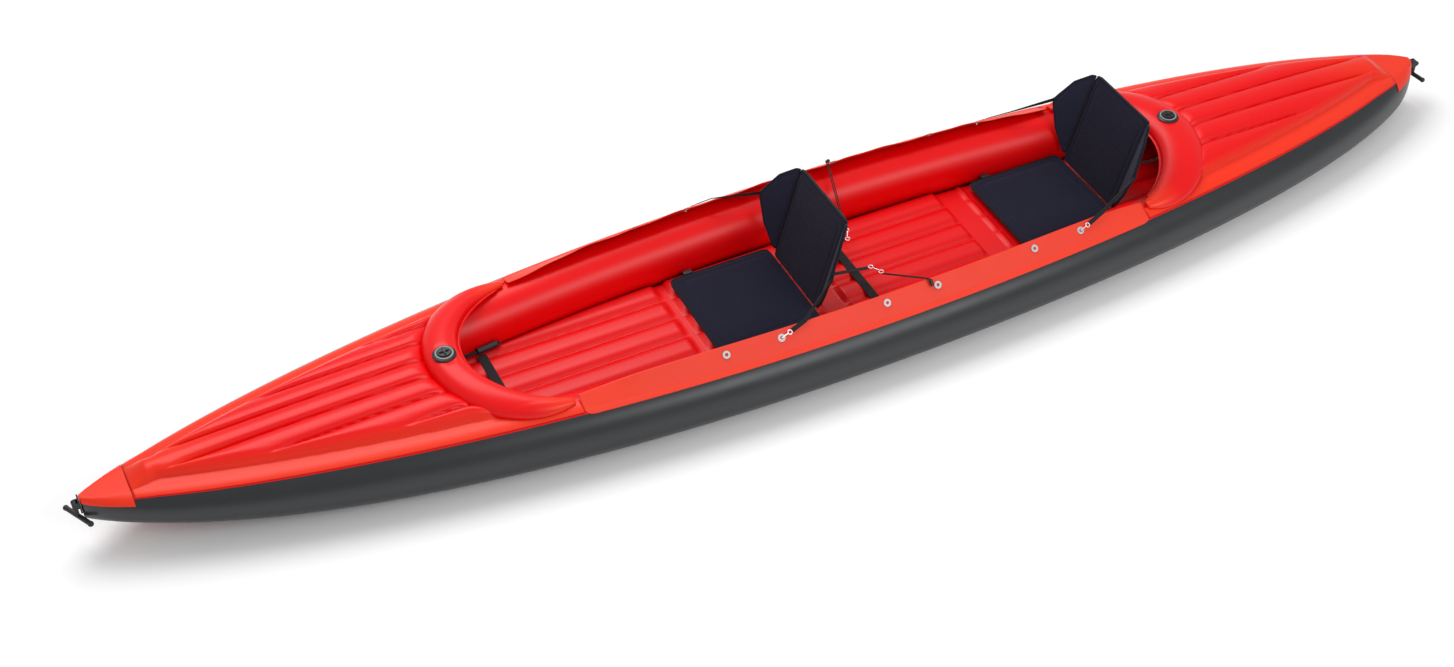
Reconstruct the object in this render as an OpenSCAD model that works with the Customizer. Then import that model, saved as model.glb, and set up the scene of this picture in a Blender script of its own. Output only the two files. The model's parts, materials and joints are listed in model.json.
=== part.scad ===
// Two-seat inflatable kayak with inflated decks and folding seats.
// Frame: +X towards the bow, +Y to port, +Z up. The origin lies on the ground under the middle of the hull.

/* [Hull] */
// Length of the hull without its handles
hull_l = 4100; // [3400:10:4900]
// Beam over the two side tubes
hull_w = 750; // [680:5:840]
// Diameter of a side tube amidships
tube_d = 176; // [150:2:196]
// Plan fullness of the bow, lower is fuller
bow_fullness = 0.7; // [0.55:0.01:0.8]
// Plan fullness of the stern, lower is fuller
stern_fullness = 0.57; // [0.5:0.01:0.8]
// Share of the tube's height that is lost at the bow tip
bow_taper = 0.62; // [0.4:0.01:0.7]
// Share of the tube's height that is lost at the stern tip
stern_taper = 0.34; // [0.25:0.01:0.6]
// How far the top line falls at the bow tip
bow_drop = 10; // [0:1:20]
// How far the top line falls at the stern tip
stern_drop = 25; // [0:1:30]

/* [Floor] */
// Thickness of the hull bottom sheet
skin_t = 3; // [2:0.5:5]
// Height of the inflated floor over the bottom sheet, at the crest of a rib
floor_h = 66; // [45:1:75]
// Height of a floor rib
floor_rib_h = 14; // [6:1:20]
// Spacing of the floor ribs
floor_rib_pitch = 78; // [50:1:100]

/* [Cockpit and decks] */
// Where the tails of the bow arch begin, from amidships
bow_arch_x = 850; // [780:5:900]
// Where the tails of the stern arch begin, aft of amidships
stern_arch_x = 890; // [840:5:940]
// How far the middle of the bow arch lies beyond its tails
bow_arch_reach = 250; // [200:5:300]
// How far the middle of the stern arch lies beyond its tails
stern_arch_reach = 240; // [200:5:300]
// Width of the bow arch at its middle
bow_arch_w = 96; // [84:2:120]
// Width of the stern arch at its middle
stern_arch_w = 132; // [100:2:150]
// Height of an arch over the deck
arch_h = 40; // [30:1:55]
// Rise of a deck's middle over the tubes beside it
deck_camber = 25; // [10:1:40]
// Depth of a deck chamber below the tubes' crests
deck_depth = 30; // [20:1:45]
// Thickness of the deck's skirt where it lies on a tube
skirt_t = 2.5; // [2:0.5:4]
// Where the skirt ends on the tube, in degrees up from its widest point
skirt_angle = 62; // [50:1:75]
// How many of the hull's rings the cap over each tip spans
cap_rings = 5; // [4:1:6]

/* [Gunwale strips and eyelets] */
// Thickness of a gunwale strip
strip_t = 2; // [1.5:0.5:3]
// Width of the free flap above its fold
flap_w = 62; // [50:1:80]
// How steeply the flap stands amidships, in degrees from level
flap_stand = 46; // [36:1:50]
// Where the glued band ends on the tube, in degrees up from its widest point
band_angle = 57; // [50:1:62]
// Place of the first eyelet, forward of amidships
eyelet_x = 440; // [380:5:480]
// Unit of the eyelet spacing
eyelet_pitch = 156; // [130:1:160]
// Hole through an eyelet
eyelet_hole_d = 9; // [7:0.5:11]
// Rim of an eyelet
eyelet_rim_d = 21; // [18:0.5:26]

/* [Valves] */
// Diameter of a valve's flange
flange_d = 62; // [54:1:72]
// Diameter of the valve body below the flange
valve_body_d = 42; // [36:1:46]
// Diameter of the turning cap
valve_cap_d = 34; // [28:1:38]
// Travel of the spring-loaded stem
stem_travel = 5; // [3:0.5:7]

/* [Seats] */
// Hinge line of the front seat, forward of amidships
front_seat_x = 90; // [40:5:140]
// Hinge line of the rear seat, aft of amidships
rear_seat_x = 872; // [800:5:900]
// Length of a seat base
base_l = 306; // [250:2:330]
// Width of a seat base
base_w = 326; // [260:2:340]
// Thickness of a seat base
base_t = 14; // [10:1:20]
// Height of the back panel along its slope
back_h = 292; // [250:2:340]
// Width of the back's middle panel
back_w = 250; // [220:2:260]
// Thickness of the back's middle panel
back_t = 12; // [8:1:16]
// Thickness of a back wing
wing_t = 10; // [6:1:12]
// Reach of a back wing from its fold
wing_reach = 92; // [70:1:96]
// Slope of the back, aft of upright
back_slope = 15.5; // [8:0.5:20]
// How far the wings fold forward of the middle panel
wing_fold = 36; // [20:1:45]

/* [Straps and handles] */
// Width of the foot straps
foot_strap_w = 26; // [18:1:40]
// Thickness of all webbing
web_t = 2; // [1.5:0.5:3]
// Width of the seat webbing
seat_web_w = 12; // [10:1:20]
// Wire diameter of the hooks
wire_d = 3.2; // [2.5:0.1:4]
// Length of a T handle's bar
handle_w = 104; // [80:2:130]
// Thickness of a T handle's bar
handle_d = 15; // [12:1:20]
// Length of a T handle's neck, from its pin to the bar
neck_l = 40; // [30:1:55]
// How far a hanging handle is twisted about its neck
handle_twist = 28; // [0:1:40]
// Pin that carries a handle
handle_pin_d = 6; // [4:0.5:8]

/* [Hidden] */
// Clearance between soft or curved neighbours
gap = 0.4;
// Room under a sheet that follows another curved sheet
lay = 0.8;
// Radial clearance of a pin or stem that turns or slides
run = 0.05;
SIDES = [1, -1];
half_l = hull_l / 2;
tip_t = 0.998;
tube_r = tube_d / 2;
tube_sides = 20;
hull_rings = 46;

// ---- Lines of the hull ----
function share(x) = min(abs(x) / half_l, tip_t);
function fullness(x) = x > 0 ? bow_fullness : stern_fullness;
function taper(x) = x > 0 ? bow_taper : stern_taper;
function drop(x) = x > 0 ? bow_drop : stern_drop;
// 0 amidships and 1 at the tips: how far the end shape has set in
function ends(x) = pow(share(x), x > 0 ? 5 : 8);
function half_beam(x) = hull_w / 2 * pow(1 - pow(share(x), 2), fullness(x));
function tube_rz(x) = tube_r * (1 - taper(x) * ends(x));
function tube_ry(x) = min(tube_rz(x), (half_beam(x) - gap / 2) / 2);
function crest_y(x) = half_beam(x) - tube_ry(x);
function top_z(x) = tube_d - drop(x) * ends(x);
function tube_z(x) = top_z(x) - tube_rz(x);
function keel_z(x) = top_z(x) - 2 * tube_rz(x);
// Half of the space between the tubes at their widest
function inner_y(x) = half_beam(x) - 2 * tube_ry(x);
// Upper surface of the tubes, bridged between their crests
function saddle_z(x, y) = abs(y) <= crest_y(x) ? top_z(x)
    : tube_z(x) + tube_rz(x) * sqrt(max(0, 1 - pow((abs(y) - crest_y(x)) / tube_ry(x), 2)));
// The point of a tube's section at an angle up from its widest point
function edge_y(x, a) = crest_y(x) + tube_ry(x) * cos(a);

// ---- Lofts ----
// Rows of points join into one closed solid: a ring per row, ends closed by a fan
module ring_loft(rows) {
    n = len(rows[0]);
    m = len(rows);
    sides = [for (i = [0 : m - 2], j = [0 : n - 1]) let (a = i * n + j, b = i * n + (j + 1) % n)
        each [[a, b, b + n], [a, b + n, a + n]]];
    caps = [for (j = [1 : n - 2]) each [[0, j + 1, j], [(m - 1) * n, (m - 1) * n + j, (m - 1) * n + j + 1]]];
    polyhedron(points = [for (row = rows) each row], faces = concat(sides, caps), convexity = 6);
}
// An upper and a lower grid of points, of the same size, join into one closed solid
module grid_loft(upper, lower) {
    m = len(upper);
    n = len(upper[0]);
    low = m * n;
    faces_up = [for (i = [0 : m - 2], j = [0 : n - 2]) let (a = i * n + j)
        each [[a, a + n + 1, a + 1], [a, a + n, a + n + 1]]];
    faces_down = [for (f = faces_up) [f[0] + low, f[2] + low, f[1] + low]];
    edge_side = [for (i = [0 : m - 2], j = [0, n - 1]) let (a = i * n + j, b = a + n)
        each j == 0 ? [[a, a + low, b + low], [a, b + low, b]] : [[a, b + low, a + low], [a, b, b + low]]];
    edge_end = [for (j = [0 : n - 2], i = [0, m - 1]) let (a = i * n + j, b = a + 1)
        each i == 0 ? [[a, b + low, a + low], [a, b, b + low]] : [[a, a + low, b + low], [a, b + low, b]]];
    polyhedron(points = concat([for (row = upper) each row], [for (row = lower) each row]),
        faces = concat(faces_up, faces_down, edge_side, edge_end), convexity = 8);
}
// Even steps from a to b
function steps(a, b, n) = [for (i = [0 : n]) a + (b - a) * i / n];
// Stations over the whole hull, closer together near both tips
function ring_x(i) = half_l * tip_t * sin(180 * i / hull_rings - 90);
function hull_stations() = [for (i = [0 : hull_rings]) ring_x(i)];
// A point on the port side, put on the given side
function sided(p, side) = [p[0], side * p[1], p[2]];
// A strap through the points, w wide along the direction across, t thick
module strap(points, across, w, t) {
    lift = [0, 0, t];
    upper = [for (p = points) [p - across * w / 2 + lift, p + across * w / 2 + lift]];
    lower = [for (p = points) [p - across * w / 2, p + across * w / 2]];
    grid_loft(upper, lower);
}
// A round cord through the points
function unit(v) = v / norm(v);
cord_sides = 8;
module cord(route, d) {
    n = len(route);
    ring_loft([for (i = [0 : n - 1])
        let (t = unit(route[min(i + 1, n - 1)] - route[max(i - 1, 0)]),
            u = unit(cross([0, 0, 1], t)), v = cross(t, u))
        [for (j = [0 : cord_sides - 1]) let (a = -360 * j / cord_sides)
            route[i] + (u * cos(a) + v * sin(a)) * d / 2]]);
}
// A round bar between two points
module rod(a, b, d) {
    v = b - a;
    translate(a)
        rotate([0, acos(v[2] / norm(v)), atan2(v[1], v[0])])
            cylinder(h = norm(v), d = d, $fn = 24);
}

// ---- Hull ----
module side_tube(side, grow = 0) {
    ring_loft([for (x = hull_stations())
        [for (j = [0 : tube_sides - 1]) let (a = -side * 360 * j / tube_sides)
            [x, side * (crest_y(x) + (tube_ry(x) + grow) * cos(a)),
                tube_z(x) + (tube_rz(x) + grow) * sin(a)]]]);
}
module port_side_tube() { color("#2b2d31") side_tube(1); }
module starboard_side_tube() { color("#2b2d31") side_tube(-1); }

// Where the bottom sheet and the floor run out under the decks
floor_bow_x = half_l * 0.8;
floor_stern_x = -half_l * 0.84;
skin_inset = 34;
skin_lift = 0.6;
module bottom_sheet() {
    xs = steps(floor_stern_x, floor_bow_x, 24);
    low = [for (x = xs) [for (s = SIDES)
        [x, s * (crest_y(x) - skin_inset * tube_ry(x) / tube_r), keel_z(x) + skin_lift]]];
    color("#26282b") grid_loft([for (row = low) [for (p = row) p + [0, 0, skin_t]]], low);
}

skin_top = skin_lift + skin_t;
floor_top = skin_top + floor_h;
// Upper surface of the floor: round ribs side by side
function floor_z(x, y) = keel_z(x) + floor_top - floor_rib_h * (1 - abs(cos(180 * y / floor_rib_pitch)));
module floor_chamber() {
    xs = steps(floor_stern_x, floor_bow_x, 18);
    function across(x) = steps(-1, 1, 34) * (inner_y(x) - 2 * gap);
    color("#e0211b")
        grid_loft([for (x = xs) [for (y = -across(x)) [x, y, floor_z(x, y)]]],
            [for (x = xs) [for (y = -across(x)) [x, y, keel_z(x) + skin_top + gap]]]);
}

// ---- Decks and coaming arches, end is 1 at the bow and -1 at the stern ----
function arch_x(end) = end > 0 ? bow_arch_x : stern_arch_x;
function arch_reach(end) = end > 0 ? bow_arch_reach : stern_arch_reach;
function arch_w(end) = end > 0 ? bow_arch_w : stern_arch_w;
cap_start = ring_x(hull_rings - cap_rings);
deck_end = cap_start - 2 * gap;
// A deck's camber fades towards the tip
function camber(x) = deck_camber * max(0, 1 - pow(share(x) / 0.97, 4));
function deck_z(x, y) = saddle_z(x, y) + gap + skirt_t
    + camber(x) * max(0, 1 - pow(y / max(crest_y(x), 1), 2));
function deck_low_z(x, y) = saddle_z(x, y) - deck_depth * tube_rz(x) / tube_r;
// The deck starts beyond the valve, along the arch, and outside the arch's tails it reaches the strips
deck_setback = valve_body_d / 2 + 4;
tail_w = 0.89;
strip_clear = 13;
function deck_start(end, w) = arch_x(end) + (abs(w) >= tail_w ? -strip_clear
    : deck_setback + arch_reach(end) * sqrt(1 - pow(w / tail_w, 2)));
module deck(end) {
    rows = 15;
    function place(s, w) = let (x = end * (deck_start(end, w) + s * (deck_end - deck_start(end, w))))
        [x, -end * w * edge_y(x, skirt_angle)];
    grid = [for (s = steps(0, 1, rows)) [for (w = steps(-1, 1, 22)) place(s, w)]];
    color("#e0211b")
        difference() {
            grid_loft([for (row = grid) [for (p = row) [p[0], p[1], deck_z(p[0], p[1])]]],
                [for (row = grid) [for (p = row) [p[0], p[1], deck_low_z(p[0], p[1])]]]);
            for (side = SIDES) side_tube(side, gap);
        }
}
module bow_deck() { deck(1); }
module stern_deck() { deck(-1); }

// Middle line of an arch at an angle from the bow or stern: its tails lie on the tubes' crests
function arch_mid(end, a) = let (x = end * (arch_x(end) + arch_reach(end) * cos(a)))
    [x, crest_y(end * arch_x(end)) * sin(a) * 1.02];
function arch_normal(end, a) = let (n = [end * cos(a) * crest_y(end * arch_x(end)), sin(a) * arch_reach(end)])
    n / norm(n);
// An arch narrows and flattens towards its tails
function arch_swell(a) = 1 - 0.8 * pow(abs(a) / 90, 3);
arch_edge_t = 3;
function arch_top_z(end, p, a, v) = deck_z(p[0], p[1]) + lay + arch_edge_t
    + (arch_h - arch_edge_t) * arch_swell(a) * sqrt(max(0, 1 - v * v));
// The valve's seat is cut into the top of the arch
function valve_x(end) = end * (arch_x(end) + arch_reach(end));
valve_seat_depth = 3;
function valve_seat_z(end) = arch_top_z(end, arch_mid(end, 0), 0, 0) - valve_seat_depth;
module arch(end) {
    turns = steps(-90, 90, 28);
    ribs = [for (i = [0 : 12]) -cos(180 * i / 12)];
    grid = [for (a = turns) [for (v = ribs) let (p = arch_mid(end, a) - end * arch_normal(end, a) * end * v
        * arch_w(end) / 2 * arch_swell(a)) [p[0], p[1], a, v]]];
    rows = end > 0 ? grid : [for (i = [len(grid) - 1 : -1 : 0]) grid[i]];
    color("#e5261f")
        difference() {
            grid_loft([for (row = rows) [for (q = row)
                    [q[0], q[1], arch_top_z(end, [q[0], q[1]], q[2], q[3])]]],
                [for (row = rows) [for (q = row) [q[0], q[1], deck_z(q[0], q[1]) + lay]]]);
            translate([valve_x(end), 0, valve_seat_z(end)])
                cylinder(h = arch_h, d = flange_d + 2 * gap, $fn = 64);
            translate([valve_x(end), 0, 0])
                cylinder(h = 2 * tube_d, d = valve_body_d + 2 * gap, $fn = 64);
        }
}
module bow_arch() { arch(1); }
module stern_arch() { arch(-1); }

// Cap over each tip, down both flanks, along the tubes' own rings and sides
cap_sides = [2, 3, 4, 5];
module tip_cap(end) {
    turns = 360 / tube_sides * cap_sides;
    arc = concat([for (a = turns) [-1, a]], [for (i = [len(turns) - 1 : -1 : 0]) [1, turns[i]]]);
    function line(x, r) = [for (q = arc)
        [x, end * -q[0] * (crest_y(x) + (tube_ry(x) + r) * cos(q[1])),
            tube_z(x) + (tube_rz(x) + r) * sin(q[1])]];
    xs = [for (i = [hull_rings - cap_rings : hull_rings]) end * ring_x(i)];
    color("#d91d18")
        difference() {
            grid_loft([for (x = xs) line(x, gap + skirt_t)], [for (x = xs) line(x, gap)]);
            for (side = SIDES) side_tube(side, gap / 2);
        }
}
module bow_cap() { tip_cap(1); }
module stern_cap() { tip_cap(-1); }

// ---- Gunwale strips and eyelets ----
strip_bow_x = bow_arch_x - strip_clear - 1;
strip_stern_x = -(stern_arch_x - strip_clear - 1);
fold_angle = 68;
end_stand = 24;
end_narrowing = 0.3;
twist_power = 6;
strip_mid = (strip_bow_x + strip_stern_x) / 2;
// 0 in the middle of a strip and 1 at its ends
function strip_t_of(x) = pow(abs(x - strip_mid) / (strip_bow_x - strip_mid), twist_power);
function stand(x) = flap_stand + (end_stand - flap_stand) * strip_t_of(x);
function flap_width(x) = flap_w * (1 - end_narrowing * strip_t_of(x));
function tube_point(x, a, r) =
    [x, crest_y(x) + (tube_ry(x) + r) * cos(a), tube_z(x) + (tube_rz(x) + r) * sin(a)];
// A point of the port flap: s up from its fold, n out of its outer face
function flap_point(x, s, n) = tube_point(x, fold_angle, gap)
    + [0, n * sin(stand(x)) - s * cos(stand(x)), s * sin(stand(x)) + n * cos(stand(x))];
// Outline of a strip's outer face (n = strip_t) or inner face (n = 0), from its glued edge to its free edge
function strip_line(x, n) = concat(
    [for (a = [band_angle, (band_angle + fold_angle) / 2, fold_angle]) tube_point(x, a, gap + n)],
    [for (part = [0.5, 1]) flap_point(x, part * flap_width(x), n)]);
eyelet_steps = [0, 1, 3, 4, 6, 7];
eyelet_share = 0.62;
function eyelet_s(x) = eyelet_share * flap_width(x);
function eyelet_place(i) = eyelet_x - eyelet_steps[i] * eyelet_pitch;
function eyelet_at(i) = flap_point(eyelet_place(i), eyelet_s(eyelet_place(i)), 0);
// How far the flap turns in from straight ahead at an eyelet
function eyelet_turn(i) = let (x = eyelet_place(i)) atan2(crest_y(x + 1) - crest_y(x - 1), 2);
// A point given in the frame of a port eyelet: X along the flap, Y down it, Z out of its outer face
function by_eyelet(i, p) = let (a = stand(eyelet_place(i)), b = eyelet_turn(i),
        y = p[1] * cos(a) + p[2] * sin(a), z = p[2] * cos(a) - p[1] * sin(a))
    eyelet_at(i) + [p[0] * cos(b) - y * sin(b), p[0] * sin(b) + y * cos(b), z];
module at_eyelet(i, side) {
    translate(sided(eyelet_at(i), side))
        rotate([-side * stand(eyelet_place(i)), 0, side * eyelet_turn(i)]) children();
}
eyelet_wall = 1.6;
eyelet_lip = 1;
barrel_d = eyelet_hole_d + 2 * eyelet_wall;
fit_eyelet = 0.4;
module gunwale_strip(side) {
    xs = steps(strip_stern_x, strip_bow_x, 34);
    rows = side > 0 ? xs : [for (i = [len(xs) - 1 : -1 : 0]) xs[i]];
    color("#ee3a26")
        difference() {
            grid_loft([for (x = rows) [for (p = strip_line(x, strip_t)) sided(p, side)]],
                [for (x = rows) [for (p = strip_line(x, 0)) sided(p, side)]]);
            for (i = [0 : len(eyelet_steps) - 1]) at_eyelet(i, side)
                translate([0, 0, -strip_t])
                    cylinder(h = 3 * strip_t, d = barrel_d + 2 * fit_eyelet, $fn = 32);
        }
}
module port_gunwale_strip() { gunwale_strip(1); }
module starboard_gunwale_strip() { gunwale_strip(-1); }

eyelet_h = strip_t + 2 * fit_eyelet + 2 * eyelet_lip;
module eyelet() {
    translate([0, 0, -fit_eyelet - eyelet_lip])
        difference() {
            union() {
                cylinder(h = eyelet_lip, d = eyelet_rim_d, $fn = 48);
                cylinder(h = eyelet_h, d = barrel_d, $fn = 48);
                translate([0, 0, eyelet_h - eyelet_lip]) cylinder(h = eyelet_lip, d = eyelet_rim_d, $fn = 48);
            }
            translate([0, 0, -1]) cylinder(h = eyelet_h + 2, d = eyelet_hole_d, $fn = 48);
        }
}
module eyelets(side) {
    color("#d8d8d4")
        for (i = [0 : len(eyelet_steps) - 1]) at_eyelet(i, side) eyelet();
}
module port_eyelets() { eyelets(1); }
module starboard_eyelets() { eyelets(-1); }

// ---- Valves: z = 0 is the valve's seat on the arch ----
flange_t = 5;
valve_body_h = 34;
collar_h = 3;
stem_d = 7;
guide_h = 4;
stem_head_t = 3;
stem_low = -valve_body_h + 6;
throat_d = valve_cap_d - 8;
cap_plug_d = throat_d - 1;
cap_plug_h = 6;
cap_rim_t = 3;
cap_rim_z = flange_t + collar_h + gap;
module at_valve(end) {
    translate([valve_x(end), 0, valve_seat_z(end)]) children();
}
module valve_body() {
    difference() {
        union() {
            translate([0, 0, gap]) cylinder(h = flange_t - gap, d = flange_d, $fn = 64);
            translate([0, 0, -valve_body_h]) cylinder(h = valve_body_h + 2 * gap, d = valve_body_d, $fn = 64);
            cylinder(h = flange_t + collar_h, d = valve_cap_d + 6, $fn = 64);
        }
        translate([0, 0, -valve_body_h + guide_h]) cylinder(h = 2 * valve_body_h, d = throat_d, $fn = 64);
        translate([0, 0, -valve_body_h - 1]) cylinder(h = guide_h + 2, d = stem_d + 2 * run, $fn = 48);
        for (a = [0 : 90 : 270]) rotate(a)
            translate([throat_d / 2 - 4, 0, -valve_body_h - 1]) cylinder(h = guide_h + 2, d = 5, $fn = 24);
    }
}
module valve_stem() {
    translate([0, 0, -valve_body_h]) cylinder(h = valve_body_h - 6, d = stem_d, $fn = 48);
    translate([0, 0, -8]) cylinder(h = stem_head_t, d = stem_d + 9, $fn = 48);
}
spring_od = stem_d + 8;
spring_wire = 1.4;
spring_low = -valve_body_h + guide_h + gap;
spring_high = -8 - gap;
spring_turns = 5;
// Return spring between the guide and the stem's head
module valve_spring() {
    turns = 14;
    low = spring_low + spring_wire / 2;
    pitch = (spring_high - spring_wire / 2 - low) / spring_turns;
    r = (spring_od - spring_wire) / 2;
    cord([for (i = [0 : turns * spring_turns]) let (a = 360 * i / turns)
            [r * cos(a), r * sin(a), low + pitch * i / turns]],
        spring_wire);
}
module valve_cap() {
    translate([0, 0, cap_rim_z]) cylinder(h = cap_rim_t, d = valve_cap_d, $fn = 64);
    translate([0, 0, cap_rim_z - cap_plug_h]) cylinder(h = cap_plug_h + 1, d = cap_plug_d, $fn = 64);
    for (a = [0, 90]) rotate(a)
        translate([-valve_cap_d / 2 + 4, -2, cap_rim_z + cap_rim_t - 0.5]) cube([valve_cap_d - 8, 4, 5]);
}
// Pale ring that tethers the cap, lying round the collar
module cap_ring() {
    translate([0, 0, flange_t + gap])
        difference() {
            cylinder(h = 2.2, d = valve_cap_d + 14, $fn = 64);
            translate([0, 0, -1]) cylinder(h = 5, d = valve_cap_d + 6 + 2 * gap, $fn = 64);
        }
}
module bow_valve_body() { color("#1d1e20") at_valve(1) valve_body(); }
module bow_valve_stem() { color("#8d8f92") at_valve(1) valve_stem(); }
module bow_valve_spring() { color("#b9bbbe") at_valve(1) valve_spring(); }
module bow_valve_cap() { color("#222326") at_valve(1) valve_cap(); }
module bow_cap_ring() { color("#c9c7c4") at_valve(1) cap_ring(); }
module stern_valve_body() { color("#1d1e20") at_valve(-1) valve_body(); }
module stern_valve_stem() { color("#8d8f92") at_valve(-1) valve_stem(); }
module stern_valve_spring() { color("#b9bbbe") at_valve(-1) valve_spring(); }
module stern_valve_cap() { color("#222326") at_valve(-1) valve_cap(); }
module stern_cap_ring() { color("#c9c7c4") at_valve(-1) cap_ring(); }

// ---- Seats: seat_x is the hinge line, at the top rear edge of the base ----
seat_floor_z = floor_top + gap;
hinge_z = seat_floor_z + base_t + gap;
corner_r = 16;
module rounded(l, w, r) {
    translate([r, -w / 2]) square([l - 2 * r, w]);
    translate([0, -w / 2 + r]) square([l, w - 2 * r]);
    for (x = [r, l - r], y = [-w / 2 + r, w / 2 - r]) translate([x, y]) circle(r = r, $fn = 32);
}
// A base is as wide as the tubes allow at its rear edge
function seat_w(seat_x) = min(base_w, 2 * (inner_y(seat_x) - 2 * gap));
module seat_base(seat_x) {
    color("#1c2230")
        translate([seat_x + gap, 0, seat_floor_z])
            linear_extrude(base_t) rounded(base_l, seat_w(seat_x), corner_r);
}
// Puts children in the back's own frame: X along the front normal, Y to port, Z up the slope
module at_back(seat_x) {
    translate([seat_x, 0, hinge_z]) rotate([0, -back_slope, 0]) children();
}
function back_point(seat_x, p) = [
    seat_x + p[0] * cos(back_slope) - p[2] * sin(back_slope),
    p[1],
    hinge_z + p[0] * sin(back_slope) + p[2] * cos(back_slope)];
module seat_back(seat_x) {
    color("#1c2230")
        at_back(seat_x) rotate([0, -90, 0]) translate([gap, 0, 0]) linear_extrude(back_t)
            rounded(back_h - gap, back_w, corner_r);
}
wing_y = back_w / 2 + gap;
// Outline of a wing: reach from the fold, height along the fold
wing_outline = [
    [gap, 22], [10, 20], [wing_reach * 0.62, back_h * 0.28], [wing_reach * 0.98, back_h * 0.52],
    [wing_reach, back_h * 0.57], [wing_reach * 0.95, back_h * 0.61], [wing_reach * 0.6, back_h * 0.83],
    [14, back_h * 0.97], [gap, back_h * 0.98]];
module back_wing(seat_x, side) {
    color("#232a3a")
        at_back(seat_x) translate([0, side * wing_y, 0]) rotate([0, 0, -side * wing_fold])
            mirror([0, side > 0 ? 0 : 1, 0]) rotate([90, 0, 90]) translate([0, 0, -wing_t])
                linear_extrude(wing_t) polygon(wing_outline);
}
// A point on a wing in the seat's back: w from the fold, v up the fold, n out of its front face
function wing_point(seat_x, side, w, v, n) = back_point(seat_x, [
    w * sin(wing_fold) + n * cos(wing_fold),
    side * (wing_y + w * cos(wing_fold) - n * sin(wing_fold)),
    v]);
module front_seat_base() { seat_base(front_seat_x); }
module front_seat_back() { seat_back(front_seat_x); }
module front_port_wing() { back_wing(front_seat_x, 1); }
module front_starboard_wing() { back_wing(front_seat_x, -1); }
module rear_seat_base() { seat_base(-rear_seat_x); }
module rear_seat_back() { seat_back(-rear_seat_x); }
module rear_port_wing() { back_wing(-rear_seat_x, 1); }
module rear_starboard_wing() { back_wing(-rear_seat_x, -1); }

// Clips on the sides of a base near its front, for the seat's own straps
clip_l = 26;
clip_w = 14;
clip_h = 12;
module base_clips(seat_x) {
    color("#151618")
        for (side = SIDES)
            translate([seat_x + base_l - 60, side * (seat_w(seat_x) / 2 + gap + clip_w / 2),
                    seat_floor_z + 2]) difference() {
                translate([-clip_l / 2, -clip_w / 2, 0]) cube([clip_l, clip_w, clip_h]);
                for (x = [-6, 6]) translate([x - 2, -clip_w, 3]) cube([4, 2 * clip_w, clip_h - 6]);
            }
}
module front_seat_clips() { base_clips(front_seat_x); }
module rear_seat_clips() { base_clips(-rear_seat_x); }

// ---- Hooks in the eyelets, and the side straps that run to the seat backs ----
hook_tip = 5;
hook_bend_r = 4;
shank_l = 22;
hook_eye_d = 15;
hook_rise = strip_t + fit_eyelet + eyelet_lip + gap + wire_d / 2;
// A wire hook: its tip goes down through an eyelet at the origin, its shank runs out along +X
module wire_hook() {
    translate([0, 0, -hook_tip]) cylinder(h = hook_tip + hook_rise, d = wire_d, $fn = 24);
    translate([0, 0, hook_rise]) sphere(d = wire_d, $fn = 24);
    translate([0, 0, hook_rise]) rotate([0, 90, 0]) cylinder(h = shank_l, d = wire_d, $fn = 24);
    translate([shank_l + hook_eye_d / 2 - wire_d, 0, hook_rise])
        rotate_extrude($fn = 48) translate([(hook_eye_d - wire_d) / 2, 0]) circle(d = wire_d, $fn = 16);
}
// Where the strap of a seat crosses the flap's free edge, in the eyelet's frame
edge_share = 0.42;
edge_lift = 3;
function edge_cross(seat_x, i) = let (x = eyelet_place(i))
    [(wing_point(seat_x, 1, wing_reach, back_h / 2, 0)[0] - x) * edge_share,
        eyelet_s(x) - flap_width(x), strip_t];
function hook_turn(seat_x, i) = let (c = edge_cross(seat_x, i)) atan2(c[1], c[0]);
module side_hooks(seat_x, i) {
    color("#c3c5c8")
        for (side = SIDES) at_eyelet(i, side) rotate([0, 0, side * hook_turn(seat_x, i)]) wire_hook();
}
front_eyelet = 1;
rear_eyelet = 5;
module front_side_hooks() { side_hooks(front_seat_x, front_eyelet); }
module rear_side_hooks() { side_hooks(-rear_seat_x, rear_eyelet); }

strap_v = back_h * 0.55;
// Port side strap as sections of its middle, its half width and its thickness: behind the wing,
// round its outer edge, over the flap's free edge and on to the hook, where it lies flat
function side_strap_sections(seat_x, i) =
    let (rise = [-sin(back_slope), 0, cos(back_slope)] * seat_web_w / 2,
        behind = -wing_t - gap,
        back = wing_point(seat_x, 1, 0, 0, -web_t) - wing_point(seat_x, 1, 0, 0, 0),
        out = wing_point(seat_x, 1, web_t, 0, 0) - wing_point(seat_x, 1, 0, 0, 0),
        p = [wing_point(seat_x, 1, 14, strap_v, behind),
            wing_point(seat_x, 1, wing_reach + gap, strap_v, behind),
            wing_point(seat_x, 1, wing_reach + gap, strap_v, -wing_t / 2)],
        a = hook_turn(seat_x, i), r = shank_l + hook_eye_d - wire_d + gap,
        half = by_eyelet(i, [-sin(a), cos(a), 0] * seat_web_w / 2) - eyelet_at(i),
        thick = by_eyelet(i, [0, 0, web_t]) - eyelet_at(i))
    [[p[0], rise, back], [p[1], rise, back + out], [p[2], rise, out],
        [by_eyelet(i, edge_cross(seat_x, i) + [0, -2, edge_lift]), half, thick],
        [by_eyelet(i, [r * cos(a), r * sin(a), hook_rise - web_t / 2]), half, thick]];
module side_straps(seat_x, i) {
    sections = side_strap_sections(seat_x, i);
    color("#17181b")
        for (side = SIDES)
            mirror([0, side > 0 ? 0 : 1, 0])
                grid_loft([for (q = sections) [q[0] + q[2] - q[1], q[0] + q[2] + q[1]]],
                    [for (q = sections) [q[0] - q[1], q[0] + q[1]]]);
}
module front_side_straps() { side_straps(front_seat_x, front_eyelet); }
module rear_side_straps() { side_straps(-rear_seat_x, rear_eyelet); }

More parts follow.
